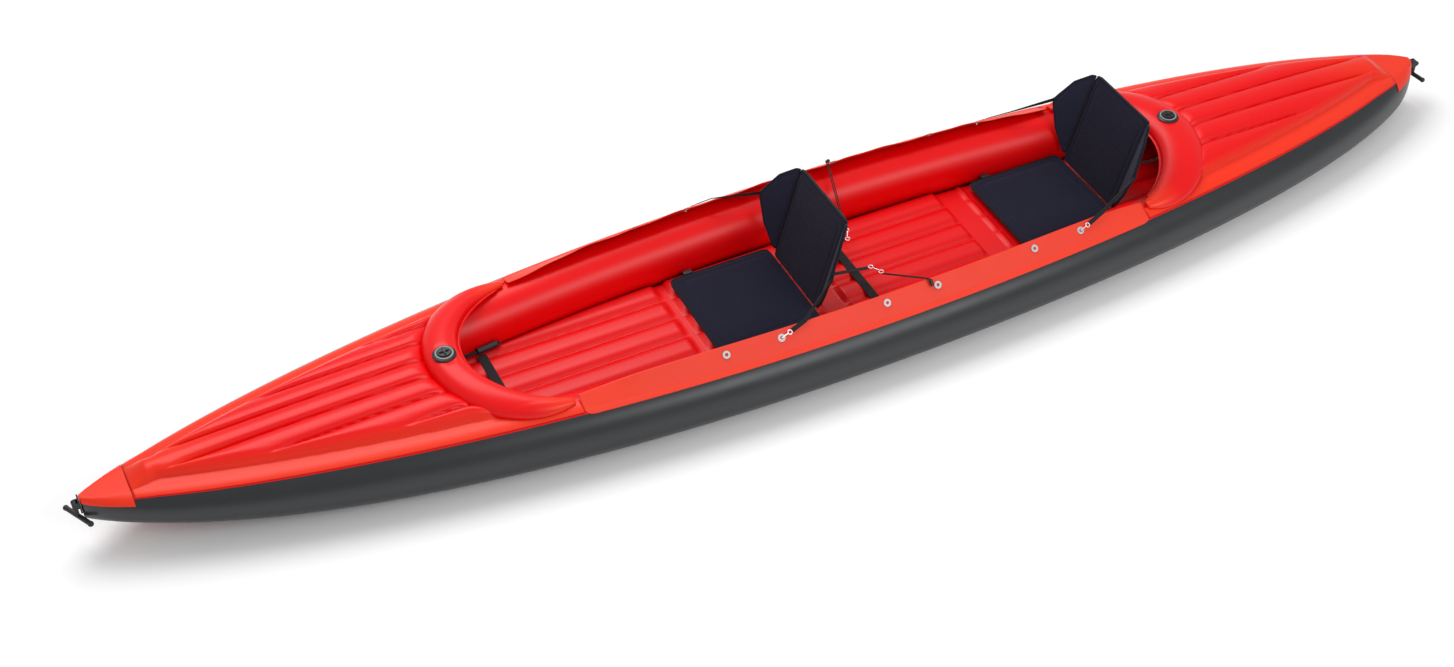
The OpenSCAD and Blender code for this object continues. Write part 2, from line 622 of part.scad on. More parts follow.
// ---- Tethers behind the seats ----
cord_d = 3;
cord_pair = 5;
tether_y = 66;
tether_back = back_t + 2 * gap;
ring_d = 16;
front_hook = [-112, tether_y, 112];
front_ring = [-127, 98, 114];
stopper_d = 10;
stopper_l = 15;
tether_eyelet = 3;
stopper_x = 18;
stopper_y = -12;
stopper_n = strip_t + gap + stopper_d / 2;
flap_edge = by_eyelet(tether_eyelet, [26, -flap_w * (1 - eyelet_share) - cord_d, strip_t + cord_d]);
module both_sides() {
    for (side = SIDES)
        mirror([0, side > 0 ? 0 : 1, 0]) children();
}
// A horizontal ring of wire
module wire_ring(d) {
    rotate_extrude($fn = 48) translate([(d - wire_d) / 2, 0]) circle(d = wire_d, $fn = 16);
}
module front_tether_webs() {
    route = [back_point(front_seat_x, [-tether_back, tether_y, 62]),
        front_hook + [ring_d / 2 + gap, 0, -web_t / 2]];
    color("#151618") both_sides() strap(route, [0, 1, 0], seat_web_w, web_t);
}
module front_tether_hooks() {
    color("#c3c5c8") both_sides() {
        translate(front_hook) wire_ring(ring_d);
        rod(front_hook + [-4, 8, 0], front_ring + [2, -8, 0], wire_d);
        translate(front_ring) wire_ring(ring_d);
    }
}
module front_tether_cords() {
    start = front_ring + [0, (ring_d + cord_d) / 2 - gap, 0];
    color("#202124") both_sides() for (s = SIDES) translate([s * cord_pair / 2, 0, 0])
        cord([start, flap_edge, by_eyelet(tether_eyelet, [stopper_x, stopper_y - stopper_l / 2, stopper_n]),
            by_eyelet(tether_eyelet, [stopper_x, stopper_y + stopper_l / 2 + 3, stopper_n])], cord_d);
}
module front_tether_stoppers() {
    color("#151618") for (side = SIDES) at_eyelet(tether_eyelet, side)
        translate([stopper_x, side * stopper_y, stopper_n]) rotate([90, 0, 0]) difference() {
            translate([0, 0, -stopper_l / 2]) cylinder(h = stopper_l, d = stopper_d, $fn = 32);
            for (s = SIDES) translate([s * cord_pair / 2, 0, -stopper_l])
                cylinder(h = 2 * stopper_l, d = cord_d + 2 * gap, $fn = 24);
        }
}
// The rear seat is tied to two fittings whose tabs lie under the inner edge of the stern arch
fitting_l = 24;
fitting_w = 16;
fitting_h = 6;
tab_l = 42;
tab_w = 12;
tab_gap = 1.2;
rear_tie_x = -(stern_arch_x + stern_arch_reach - stern_arch_w / 2 - fitting_l);
rear_tie_y = 106;
rear_tie = [rear_tie_x, rear_tie_y, deck_z(rear_tie_x - tab_l, rear_tie_y) + lay - tab_gap - web_t / 2];
rear_cord_v = 104;
module rear_tether_cords() {
    start = back_point(-rear_seat_x, [-tether_back - cord_d / 2, tether_y, rear_cord_v]);
    end = rear_tie + [fitting_l / 2 + cord_d / 2, 0, 0];
    color("#202124") both_sides() for (s = SIDES)
        translate([0, s * 3, 0]) cord([start, (start + end) / 2 - [0, 0, 4], end], cord_d);
}
module rear_tether_fittings() {
    color("#151618") both_sides() translate(rear_tie) {
        translate([-fitting_l / 2, -fitting_w / 2, -fitting_h + web_t / 2])
            cube([fitting_l, fitting_w, fitting_h]);
        translate([-fitting_l / 2 - tab_l, -tab_w / 2, -web_t / 2]) cube([tab_l + 2, tab_w, web_t]);
    }
}

// ---- Foot brace: a strap across the floor, held by a sleeved strap along each side ----
bow_foot_x = 966;
mid_foot_x = -85;
sleeve_d = 18;
sleeve_wall = 2.5;
sleeve_l = 58;
side_web_x = 904;
side_web_l = 138;
sleeve_start = 12;
side_web_end = side_web_x + side_web_l;
sleeve_turn = atan2(inner_y(side_web_end) - inner_y(side_web_x), side_web_l);
function floor_crest(x) = keel_z(x) + floor_top;
module cross_strap(x, half) {
    translate([x - foot_strap_w / 2, -half, floor_crest(x + foot_strap_w / 2) + gap])
        cube([foot_strap_w, 2 * half, web_t]);
}
module bow_foot_strap() { color("#151618") cross_strap(bow_foot_x, inner_y(bow_foot_x) - sleeve_d); }
module mid_foot_strap() { color("#151618") cross_strap(mid_foot_x, inner_y(mid_foot_x) - 2 * gap); }
// Children run along the port tube's inner side, and again along the starboard tube's
module along_tubes() {
    color("#151618") both_sides()
        translate([side_web_x, inner_y(side_web_x) - sleeve_d / 2,
                floor_crest(side_web_end) + gap + sleeve_d / 2])
            rotate([0, 0, sleeve_turn]) children();
}
module foot_sleeves() {
    along_tubes() translate([sleeve_start, 0, 0]) rotate([0, 90, 0]) difference() {
        cylinder(h = sleeve_l, d = sleeve_d, $fn = 48);
        translate([0, 0, -1]) cylinder(h = sleeve_l + 2, d = sleeve_d - 2 * sleeve_wall, $fn = 48);
    }
}
module foot_side_webs() {
    along_tubes() translate([0, -seat_web_w / 2, -web_t / 2]) cube([side_web_l, seat_web_w, web_t]);
}

// ---- Handles: each hangs on a pin in an anchor on its tip ----
anchor_w = 26;
anchor_h = 44;
anchor_t = 4;
ear_t = 5;
ear_r = 8;
boss_d = 15;
neck_w = 12;
neck_t = 9;
neck_gap = 0.5;
pin_below_top = 20;
pin_reach = 13;
tow_hole_d = 6;
stern_twist = handle_twist / 4;
function twist(end) = end > 0 ? handle_twist : stern_twist;
function bar_extent(end) = (handle_w - handle_d) / 2 * sin(twist(end)) + handle_d / 2;
handle_outer_x = half_l * tip_t + pin_reach + bar_extent(1);
function pin_x(end) = handle_outer_x - bar_extent(end);
function pin_z(end) = top_z(end * half_l) - pin_below_top;
module at_pin(end) {
    translate([end * pin_x(end), 0, pin_z(end)]) rotate([0, 0, end > 0 ? 0 : 180]) children();
}
module handle_anchor(end) {
    reach = pin_x(end) - half_l * tip_t - gap;
    color("#17181a") at_pin(end) {
        translate([-reach, -anchor_w / 2, pin_below_top - anchor_h]) cube([anchor_t, anchor_w, anchor_h]);
        for (side = SIDES) translate([0, side * (neck_w / 2 + neck_gap + ear_t / 2), 0]) {
            translate([-reach, -ear_t / 2, -ear_r]) cube([reach, ear_t, 2 * ear_r]);
            rotate([90, 0, 0]) translate([0, 0, -ear_t / 2]) cylinder(h = ear_t, r = ear_r, $fn = 48);
        }
        rotate([90, 0, 0]) translate([0, 0, -neck_w / 2 - neck_gap - ear_t])
            cylinder(h = neck_w + 2 * neck_gap + 2 * ear_t, d = handle_pin_d, $fn = 48);
    }
}
// Half outline of the bar: a thinner middle and round ends
module bar_outline() {
    bar_half = (handle_w - handle_d) / 2;
    for (end = SIDES) translate([0, end * bar_half]) intersection() {
        circle(d = handle_d, $fn = 48);
        translate([0, -handle_d]) square([handle_d, 2 * handle_d]);
    }
    translate([0, -bar_half]) square([handle_d / 2 - 1, 2 * bar_half]);
}
module handle(end) {
    color("#17181a") at_pin(end) {
        difference() {
            union() {
                rotate([90, 0, 0]) translate([0, 0, -neck_w / 2]) cylinder(h = neck_w, d = boss_d, $fn = 48);
                translate([-neck_t / 2, -neck_w / 2, -neck_l]) cube([neck_t, neck_w, neck_l]);
                translate([0, 0, -neck_l]) rotate([90, 0, twist(end)])
                    rotate_extrude($fn = 48) bar_outline();
            }
            rotate([90, 0, 0]) translate([0, 0, -neck_w])
                cylinder(h = 2 * neck_w, d = handle_pin_d + 2 * run, $fn = 48);
            translate([-neck_w, 0, -neck_l * 0.52]) rotate([0, 90, 0])
                cylinder(h = 2 * neck_w, d = tow_hole_d, $fn = 48);
        }
    }
}
module bow_handle_anchor() { handle_anchor(1); }
module stern_handle_anchor() { handle_anchor(-1); }
module bow_handle() { handle(1); }
module stern_handle() { handle(-1); }

port_side_tube();
starboard_side_tube();
bottom_sheet();
floor_chamber();
bow_deck();
stern_deck();
bow_arch();
stern_arch();
bow_cap();
stern_cap();
port_gunwale_strip();
starboard_gunwale_strip();
port_eyelets();
starboard_eyelets();
bow_valve_body();
bow_valve_stem();
bow_valve_spring();
bow_valve_cap();
bow_cap_ring();
stern_valve_body();
stern_valve_stem();
stern_valve_spring();
stern_valve_cap();
stern_cap_ring();
front_seat_base();
front_seat_back();
front_port_wing();
front_starboard_wing();
rear_seat_base();
rear_seat_back();
rear_port_wing();
rear_starboard_wing();
front_seat_clips();
rear_seat_clips();
front_side_hooks();
rear_side_hooks();
front_side_straps();
rear_side_straps();
bow_foot_strap();
mid_foot_strap();
front_tether_webs();
front_tether_hooks();
front_tether_cords();
front_tether_stoppers();
rear_tether_cords();
rear_tether_fittings();
foot_sleeves();
foot_side_webs();
bow_handle_anchor();
stern_handle_anchor();
bow_handle();
stern_handle();
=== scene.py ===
"""Builds the looks of a two-seat inflatable kayak with inflated decks, coaming arches and folding seats.

Frame: +X towards the bow, +Y to port, +Z up, in metres. The origin lies on the ground under the middle of the hull.
Rigid fittings keep their own solids and get materials; every soft part is modelled here and stands for its solid.
"""

import json
import math

import bmesh
import bpy
from bpy.props import FloatProperty, FloatVectorProperty, IntProperty, PointerProperty
from bpy.types import Operator, Panel, PropertyGroup
from mathutils import Matrix, Vector


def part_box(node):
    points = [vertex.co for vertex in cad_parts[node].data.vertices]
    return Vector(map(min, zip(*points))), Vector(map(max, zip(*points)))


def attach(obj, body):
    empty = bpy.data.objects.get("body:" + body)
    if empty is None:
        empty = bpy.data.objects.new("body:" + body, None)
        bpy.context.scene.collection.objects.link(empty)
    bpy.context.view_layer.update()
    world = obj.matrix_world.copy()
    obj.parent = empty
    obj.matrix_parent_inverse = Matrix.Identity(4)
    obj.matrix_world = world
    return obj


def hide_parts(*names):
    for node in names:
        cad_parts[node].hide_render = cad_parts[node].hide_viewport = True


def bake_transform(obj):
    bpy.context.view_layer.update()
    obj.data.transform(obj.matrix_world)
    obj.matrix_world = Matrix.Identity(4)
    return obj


bl_info = {
    "name": "Inflatable kayak",
    "version": (1, 0, 0),
    "blender": (4, 5, 0),
    "location": "3D View > Sidebar > Kayak",
    "description": "Builds the skins, seats, straps and fittings of a two-seat inflatable kayak",
    "category": "Add Mesh",
}

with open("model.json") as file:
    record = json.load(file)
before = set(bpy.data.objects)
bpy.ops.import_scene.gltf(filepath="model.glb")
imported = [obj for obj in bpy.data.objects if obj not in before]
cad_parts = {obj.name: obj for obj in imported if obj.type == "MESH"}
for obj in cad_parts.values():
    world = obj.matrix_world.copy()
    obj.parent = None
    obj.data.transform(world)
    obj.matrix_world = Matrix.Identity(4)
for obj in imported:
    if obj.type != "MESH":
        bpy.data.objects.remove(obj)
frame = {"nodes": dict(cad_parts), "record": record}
BODY_OF = {node: body for body, nodes in frame["record"]["behaviour"]["bodies"].items() for node in nodes}
SIDES = (("port", 1), ("starboard", -1))
TIP = 0.998
GAP = 0.0004
DECK_EDGE = math.radians(62)  # where a deck ends on the tube, up from the tube's widest point
STRIP_EDGE, STRIP_FOLD = 57, 68  # where a gunwale strip begins and folds, in the same way, in degrees
BAND_SHARE = 0.25  # share of a strip's rows that lies on its glued band
CAP_START = 41 / 46  # share of the stations from the stern to the bow where the bow cap begins
RIM_STEPS = 96


# ---- Sizes and colours ----
def length(name, description, default, low=0.0, high=10.0):
    """A length in metres that the sidebar shows."""
    return FloatProperty(name=name, description=description, default=default, min=low, max=high,
                         subtype="DISTANCE", unit="LENGTH", precision=4)


def factor(name, description, default, high=1.0):
    """A plain share or exponent."""
    return FloatProperty(name=name, description=description, default=default, min=0.0, max=high, subtype="FACTOR")


def colour(name, description, default):
    """A linear colour."""
    return FloatVectorProperty(name=name, description=description, default=default, size=3, min=0.0, max=1.0,
                               subtype="COLOR")


class KayakHull(PropertyGroup):
    """Lines of the hull."""

    hull_length: length("Length", "Length of the hull without its handles", 4.1)
    beam: length("Beam", "Width over the two side tubes", 0.75)
    tube: length("Tube", "Diameter of a side tube amidships", 0.176)
    bow_fullness: factor("Bow fullness", "Plan exponent of the bow, lower is fuller", 0.7)
    stern_fullness: factor("Stern fullness", "Plan exponent of the stern, lower is fuller", 0.57)
    bow_taper: factor("Bow taper", "Share of the tube's height lost at the bow tip", 0.62)
    stern_taper: factor("Stern taper", "Share of the tube's height lost at the stern tip", 0.34)
    bow_drop: length("Bow drop", "How far the top line falls at the bow tip", 0.01)
    stern_drop: length("Stern drop", "How far the top line falls at the stern tip", 0.025)
    rings: IntProperty(name="Rings", description="Rings along a side tube", default=120, min=24, max=400)


class KayakDecks(PropertyGroup):
    """Decks, coaming arches and gunwale strips."""

    camber: length("Camber", "Rise of a deck's middle over the tubes", 0.025)
    bow_pitch: length("Bow ridge pitch", "Spacing of the bow deck's ridges", 0.064)
    stern_pitch: length("Stern ridge pitch", "Spacing of the stern deck's ridges", 0.078)
    groove: length("Groove depth", "Depth of the sewn grooves between the ridges", 0.027)
    skirt: length("Skirt width", "Width of the flat band outside the ridges", 0.05)
    bow_arch_x: length("Bow arch", "Where the tails of the bow arch begin", 0.85)
    stern_arch_x: length("Stern arch", "Where the tails of the stern arch begin, aft", 0.89)
    bow_reach: length("Bow arch reach", "How far the bow arch's middle lies beyond its tails", 0.25)
    stern_reach: length("Stern arch reach", "How far the stern arch's middle lies beyond its tails", 0.24)
    bow_arch_width: length("Bow arch width", "Width of the bow arch at its middle", 0.096)
    stern_arch_width: length("Stern arch width", "Width of the stern arch at its middle", 0.132)
    arch_height: length("Arch height", "Height of an arch over the deck", 0.04)
    flap: length("Flap width", "Width of a gunwale strip above its fold", 0.062)
    ripple: length("Flap ripple", "Height of the ripples along a strip's free edge", 0.0018)


class KayakFloor(PropertyGroup):
    """The inflated floor."""

    pitch: length("Rib pitch", "Spacing of the floor's ribs", 0.078)
    rib: length("Rib height", "Height of a floor rib", 0.014)
    top: length("Floor top", "Height of a rib's crest over the keel", 0.0696)


class KayakSeats(PropertyGroup):
    """The two folding seats."""

    front_x: length("Front seat", "Hinge line of the front seat", 0.09, -3)
    rear_x: length("Rear seat", "Hinge line of the rear seat", -0.872, -3)
    base_length: length("Base length", "Length of a seat base", 0.306)
    base_width: length("Base width", "Width of a seat base", 0.326)
    base_thickness: length("Base thickness", "Thickness of a seat base", 0.014)
    back_height: length("Back height", "Height of a back along its slope", 0.292)
    back_width: length("Back width", "Width of a back's middle panel", 0.25)
    back_thickness: length("Back thickness", "Thickness of a back's middle panel", 0.012)
    wing_thickness: length("Wing thickness", "Thickness of a back's wing", 0.01)
    wing_reach: length("Wing reach", "Reach of a wing from its fold", 0.092)
    slope: FloatProperty(name="Slope", description="Slope of a back, aft of upright", default=math.radians(15.5),
                         subtype="ANGLE")
    fold: FloatProperty(name="Wing fold", description="How far the wings fold forward", default=math.radians(36),
                        subtype="ANGLE")


class KayakColours(PropertyGroup):
    """Colours of the skins, cloth and fittings."""

    tube: colour("Tube", "Charcoal outer skin of the side tubes", (0.0125, 0.0140, 0.0170))
    red: colour("Red skin", "Decks, arches and cockpit skin", (0.80, 0.0, 0.0015))
    skirt: colour("Skirt", "Lighter red of the flat skirts", (0.86, 0.030, 0.006))
    strip: colour("Strip", "Orange-red of the gunwale strips", (0.84, 0.044, 0.018))
    floor: colour("Floor", "Red of the inflated floor", (0.72, 0.0, 0.002))
    bottom: colour("Bottom", "Dark sheet under the hull", (0.022, 0.023, 0.025))
    seat: colour("Seat", "Navy cloth of the seats", (0.0045, 0.0060, 0.0200))
    wing: colour("Wing", "Lighter navy cloth of the wings", (0.0140, 0.0180, 0.0400))
    binding: colour("Binding", "Dark tape round the seat panels", (0.004, 0.005, 0.010))
    webbing: colour("Webbing", "Black webbing and cord", (0.012, 0.012, 0.014))
    plastic: colour("Plastic", "Black plastic and rubber", (0.011, 0.012, 0.014))
    # The cap ring is a real part, but its pale grey is a painted highlight that stands in for the small white
    # highlight it shows on the black valve.
    pale: colour("Ring plastic with painted highlight", "Ring that tethers a valve cap", (0.30, 0.29, 0.29))
    metal: colour("Metal", "Hooks, eyelets and springs", (0.74, 0.75, 0.76))
    stage: colour("Stage", "The plain floor", (0.985, 0.985, 0.985))


class KayakView(PropertyGroup):
    """The camera."""

    place: FloatVectorProperty(name="Place", description="Where the camera stands", size=3,
                               default=(2.0949, 3.6107, 3.7751), subtype="TRANSLATION", unit="LENGTH")
    azimuth: FloatProperty(name="Azimuth", description="Direction from the boat to the camera, from the bow to port",
                           default=math.radians(63.54), subtype="ANGLE")
    elevation: FloatProperty(name="Elevation", description="Height of the camera over the horizon",
                             default=math.radians(43.29), subtype="ANGLE")
    focal: FloatProperty(name="Focal length", description="Focal length in image widths", default=2008 / 1454)


# ---- Lines of the boat ----
class Lines:
    """The curves of the hull, in metres; x is measured forward from amidships."""

    def __init__(self):
        scene = bpy.context.scene
        hull, decks = scene.kayak_hull, scene.kayak_decks
        self.half = hull.hull_length / 2
        self.beam, self.radius, self.diameter = hull.beam / 2, hull.tube / 2, hull.tube
        self.fullness = {1: hull.bow_fullness, -1: hull.stern_fullness}
        self.taper = {1: hull.bow_taper, -1: hull.stern_taper}
        self.drop = {1: hull.bow_drop, -1: hull.stern_drop}
        self.camber_rise = decks.camber
        self.arch_x = {1: decks.bow_arch_x, -1: decks.stern_arch_x}
        self.reach = {1: decks.bow_reach, -1: decks.stern_reach}
        self.arch_width = {1: decks.bow_arch_width, -1: decks.stern_arch_width}
        self.flap = decks.flap

    def share(self, x):
        """0 amidships and almost 1 at a tip."""
        return min(abs(x) / self.half, TIP)

    def ends(self, x):
        """How far the shape of the ends has set in."""
        return self.share(x) ** (5 if x > 0 else 8)

    def end(self, x):
        """1 forward of amidships and -1 aft."""
        return 1 if x > 0 else -1

    def half_beam(self, x):
        return self.beam * (1 - self.share(x) ** 2) ** self.fullness[self.end(x)]

    def rise(self, x):
        """Half height of a side tube."""
        return self.radius * (1 - self.taper[self.end(x)] * self.ends(x))

    def spread(self, x):
        """Half width of a side tube."""
        return min(self.rise(x), (self.half_beam(x) - GAP / 2) / 2)

    def crest(self, x):
        """Distance of a tube's crest from the middle line."""
        return self.half_beam(x) - self.spread(x)

    def top(self, x):
        return self.diameter - self.drop[self.end(x)] * self.ends(x)

    def middle(self, x):
        return self.top(x) - self.rise(x)

    def keel(self, x):
        return self.top(x) - 2 * self.rise(x)

    def inner(self, x):
        """Half of the room between the tubes."""
        return self.half_beam(x) - 2 * self.spread(x)

    def deck_edge(self, x):
        """Distance of a deck's edge from the middle line."""
        return self.crest(x) + self.spread(x) * math.cos(DECK_EDGE)

    def saddle(self, x, y):
        """Upper side of the tubes, bridged between their crests."""
        out = abs(y) - self.crest(x)
        if out <= 0:
            return self.top(x)
        return self.middle(x) + self.rise(x) * math.sqrt(max(0.0, 1 - (out / self.spread(x)) ** 2))

    def tube_top(self, x, y):
        """Upper side of the tube itself, or nothing between the tubes."""
        out = (abs(y) - self.crest(x)) / self.spread(x)
        return self.middle(x) + self.rise(x) * math.sqrt(max(0.0, 1 - out * out)) if abs(out) < 1 else 0.0

    def on_tube(self, x, angle, lift=0.0):
        """A point of the port tube, at an angle up from its widest point."""
        return Vector((x, self.crest(x) + (self.spread(x) + lift) * math.cos(angle),
                       self.middle(x) + (self.rise(x) + lift) * math.sin(angle)))

    def camber(self, x):
        return self.camber_rise * max(0.0, 1 - (self.share(x) / 0.97) ** 4)

    def deck(self, x, y):
        """Upper side of a deck between its ridges and its skirt."""
        return (self.saddle(x, y) + GAP + 0.0025
                + self.camber(x) * max(0.0, 1 - (y / max(self.crest(x), 0.001)) ** 2))

    def ring_x(self, share):
        """Stations from stern to bow, closer together near both tips."""
        return self.half * TIP * math.sin(math.pi * (share - 0.5))

    def arch_point(self, end, angle, across):
        """Plan place on an arch: angle from its middle, across from -1 to 1 of its width."""
        base = end * self.arch_x[end]
        crest = self.crest(base)
        normal = Vector((end * math.cos(angle) * crest, math.sin(angle) * self.reach[end]))
        normal.normalize()
        swell = self.swell(angle)
        along = end * (self.arch_x[end] + self.reach[end] * math.cos(angle))
        mid = Vector((along, crest * math.sin(angle) * 1.02))
        return mid + normal * across * self.arch_width[end] / 2 * swell

    def swell(self, angle):
        """An arch narrows and flattens towards its tails."""
        return 1 - 0.8 * (abs(angle) / (math.pi / 2)) ** 3

    # Gunwale strips
    def strip_ends(self):
        clear = 0.014
        return -(self.arch_x[-1] - clear), self.arch_x[1] - clear

    def strip_twist(self, x):
        low, high = self.strip_ends()
        return (abs(x - (low + high) / 2) / ((high - low) / 2)) ** 6

    def stand(self, x):
        return math.radians(46 - 22 * min(self.strip_twist(x), 1.3))

    def flap_width(self, x):
        return self.flap * (1 - 0.3 * min(self.strip_twist(x), 1.3))

    def flap_point(self, x, up, out):
        """A point of the port flap: up from its fold, out of its outer face."""
        angle = self.stand(x)
        return self.on_tube(x, math.radians(STRIP_FOLD), GAP) + Vector(
            (0, out * math.sin(angle) - up * math.cos(angle), up * math.sin(angle) + out * math.cos(angle)))


# ---- Mesh helpers ----
def piece(name, bm, material, body, replaces=(), materials=()):
    """Makes an object of a bmesh, gives it its materials, and declares what it rides on and stands for.
    """
    mesh = bpy.data.meshes.new(name)
    for face in bm.faces:
        face.smooth = True
    bm.to_mesh(mesh)
    bm.free()
    for each in (material, *materials):
        mesh.materials.append(each)
    obj = bpy.data.objects.new(name, mesh)
    bpy.context.scene.collection.objects.link(obj)
    if body:
        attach(obj, body)
    if replaces:
        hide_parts(*replaces)
    return obj


def warped_grid(across, along, place, seal=False):
    """A grid of quads, carried to place(u, v); u and v run from 0 to 1 and stay as its UV map."""
    bm = bmesh.new()
    bm.loops.layers.uv.new("UVMap")
    bmesh.ops.create_grid(bm, x_segments=across, y_segments=along, size=0.5, calc_uvs=True)
    for vert in bm.verts:
        vert.co = place(vert.co.x + 0.5, vert.co.y + 0.5)
    if seal:
        bmesh.ops.remove_doubles(bm, verts=bm.verts, dist=1e-6)
        bmesh.ops.holes_fill(bm, edges=[edge for edge in bm.edges if edge.is_boundary], sides=0)
    bmesh.ops.recalc_face_normals(bm, faces=bm.faces)
    return bm


def point_faces(bm, way):
    """Turns a whole open sheet so that its faces look the given way."""
    total = sum((face.normal * face.calc_area() for face in bm.faces), Vector())
    if total.dot(Vector(way)) < 0:
        bmesh.ops.reverse_faces(bm, faces=bm.faces)


def thicken(bm, thickness, way):
    """Gives an open sheet a wall behind its face."""
    bm.normal_update()
    point_faces(bm, way)
    bmesh.ops.solidify(bm, geom=bm.faces[:], thickness=thickness)
    bmesh.ops.recalc_face_normals(bm, faces=bm.faces)


def paint_band(obj, amount):
    """Writes how far each point belongs to the piece's lighter band, from amount(point)."""
    layer = obj.data.attributes.new("edge_band", "FLOAT", "POINT")
    layer.data.foreach_set("value", [amount(vert.co) for vert in obj.data.vertices])


def step_up(value, low, high):
    """0 below low and 1 over high, smooth between."""
    share = min(1.0, max(0.0, (value - low) / (high - low)))
    return share * share * (3 - 2 * share)


def modifier(obj, kind, name, **values):
    """Adds a modifier and sets its values."""
    added = obj.modifiers.new(name, kind)
    for key, value in values.items():
        setattr(added, key, value)
    return added


def softened(source, name, material, width, bends=False):
    """A copy of a fitting's solid with its doubles merged and its edges rounded, which stands for the solid."""
    bm = bmesh.new()
    bm.from_mesh(frame["nodes"][source].data)
    bmesh.ops.remove_doubles(bm, verts=bm.verts, dist=1e-6)
    bmesh.ops.dissolve_limit(bm, angle_limit=math.radians(3), verts=bm.verts, edges=bm.edges)
    bm.normal_update()
    sharp = [edge for edge in bm.edges if edge.is_manifold and edge.calc_face_angle(0.0) > math.radians(35)]
    if width and sharp:
        bmesh.ops.bevel(bm, geom=sharp, offset=width, offset_type="OFFSET", segments=2, profile=0.5,
                        affect="EDGES", clamp_overlap=True, material=-1)
    bmesh.ops.recalc_face_normals(bm, faces=bm.faces)
    obj = piece(name, bm, material, None if bends else BODY_OF[source], (source,))
    modifier(obj, "WEIGHTED_NORMAL", "Even shading", keep_sharp=True)
    return obj


# ---- Shader groups ----
def new_group(name, inputs, outputs):
    """An empty shader node group with named sockets; inputs are (name, kind, default)."""
    group = bpy.data.node_groups.new(name, "ShaderNodeTree")
    for label, kind, default in inputs:
        socket = group.interface.new_socket(name=label, in_out="INPUT", socket_type=kind)
        if default is not None:
            socket.default_value = default
    for label, kind in outputs:
        group.interface.new_socket(name=label, in_out="OUTPUT", socket_type=kind)
    return group, group.nodes.new("NodeGroupInput"), group.nodes.new("NodeGroupOutput")


FLOAT, COLOUR, VECTOR = "NodeSocketFloat", "NodeSocketColor", "NodeSocketVector"


def connect(tree, value, socket):
    """Links a value that is a node's output to the socket, or sets the socket to it."""
    if isinstance(value, bpy.types.NodeSocket):
        tree.links.new(value, socket)
    else:
        socket.default_value = value


def node(tree, kind, inputs=None, **values):
    """Adds a node; inputs maps a socket's name or number to a value or to another node's output."""
    made = tree.nodes.new("ShaderNode" + kind)
    for key, value in values.items():
        setattr(made, key, value)
    for key, value in (inputs or {}).items():
        connect(tree, value, made.inputs[key])
    return made


def math_node(tree, operation, first, second=0.0, clamp=False):
    """The output of a Math node."""
    return node(tree, "Math", {0: first, 1: second}, operation=operation, use_clamp=clamp).outputs[0]


def make_weave_group():
    """Plain weave: two crossed sets of threads, as a height and a thread shade."""
    group, given, out = new_group("Cloth weave", [("Vector", VECTOR, None), ("Threads per metre", FLOAT, 900.0)],
                                  [("Height", FLOAT), ("Shade", FLOAT)])
    scaled = node(group, "VectorMath", {0: given.outputs[0]}, operation="SCALE")
    group.links.new(given.outputs[1], scaled.inputs["Scale"])
    parts = node(group, "SeparateXYZ", {0: scaled.outputs[0]})
    waves = []
    for first, second in ((0, 1), (1, 2)):
        lead = math_node(group, "SINE", math_node(group, "MULTIPLY", parts.outputs[first], math.pi))
        cross = math_node(group, "SINE", math_node(group, "MULTIPLY", parts.outputs[second], math.pi))
        waves.append(math_node(group, "ABSOLUTE", math_node(group, "MULTIPLY", lead, cross)))
    height = math_node(group, "ADD", waves[0], waves[1])
    fray = node(group, "TexNoise", {"Vector": scaled.outputs[0], "Scale": 0.12, "Detail": 3.0, "Roughness": 0.6})
    shade = node(group, "MapRange", {0: fray.outputs[0], 1: 0.3, 2: 0.7, 3: 0.0, 4: 1.0})
    group.links.new(math_node(group, "MULTIPLY", height, 0.5), out.inputs["Height"])
    group.links.new(shade.outputs[0], out.inputs["Shade"])
    return group


def make_grain_group():
    """Calendered skin: a fine cloth print through the coating, and low wandering dents."""
    group, given, out = new_group("Skin grain",
                                  [("Vector", VECTOR, None), ("Scale", FLOAT, 600.0), ("Dents", FLOAT, 0.5)],
                                  [("Height", FLOAT), ("Print", FLOAT)])
    fine = node(group, "TexNoise", {"Vector": given.outputs[0], "Scale": given.outputs[1], "Detail": 2.0})
    coarse = node(group, "TexNoise", {"Vector": given.outputs[0], "Scale": 9.0, "Detail": 3.0, "Roughness": 0.45})
    dents = math_node(group, "MULTIPLY", coarse.outputs[0], given.outputs[2])
    printed = math_node(group, "MULTIPLY", fine.outputs[0], 0.04)
    group.links.new(math_node(group, "ADD", dents, printed), out.inputs["Height"])
    group.links.new(fine.outputs[0], out.inputs["Print"])
    return group


def make_wear_group():
    """Rubbed and dusty marks: a mask of long faint scuffs and one of soft dust."""
    group, given, out = new_group("Scuffs and dust",
                                  [("Vector", VECTOR, None), ("Scuffs", FLOAT, 0.4), ("Dust", FLOAT, 0.3)],
                                  [("Scuff mask", FLOAT), ("Dust mask", FLOAT)])
    pulled = node(group, "Mapping", {"Vector": given.outputs[0], "Scale": (2.2, 26.0, 26.0)})
    scratch = node(group, "TexNoise", {"Vector": pulled.outputs[0], "Scale": 6.0, "Detail": 6.0, "Roughness": 0.7})
    cut = node(group, "MapRange", {0: scratch.outputs[0], 1: 0.60, 2: 0.74, 3: 0.0, 4: 1.0})
    cloud = node(group, "TexNoise", {"Vector": given.outputs[0], "Scale": 3.2, "Detail": 5.0, "Roughness": 0.62})
    soft = node(group, "MapRange", {0: cloud.outputs[0], 1: 0.42, 2: 0.78, 3: 0.0, 4: 1.0})
    group.links.new(math_node(group, "MULTIPLY", cut.outputs[0], given.outputs[1]), out.inputs["Scuff mask"])
    group.links.new(math_node(group, "MULTIPLY", soft.outputs[0], given.outputs[2]), out.inputs["Dust mask"])
    return group


GROUPS = {}


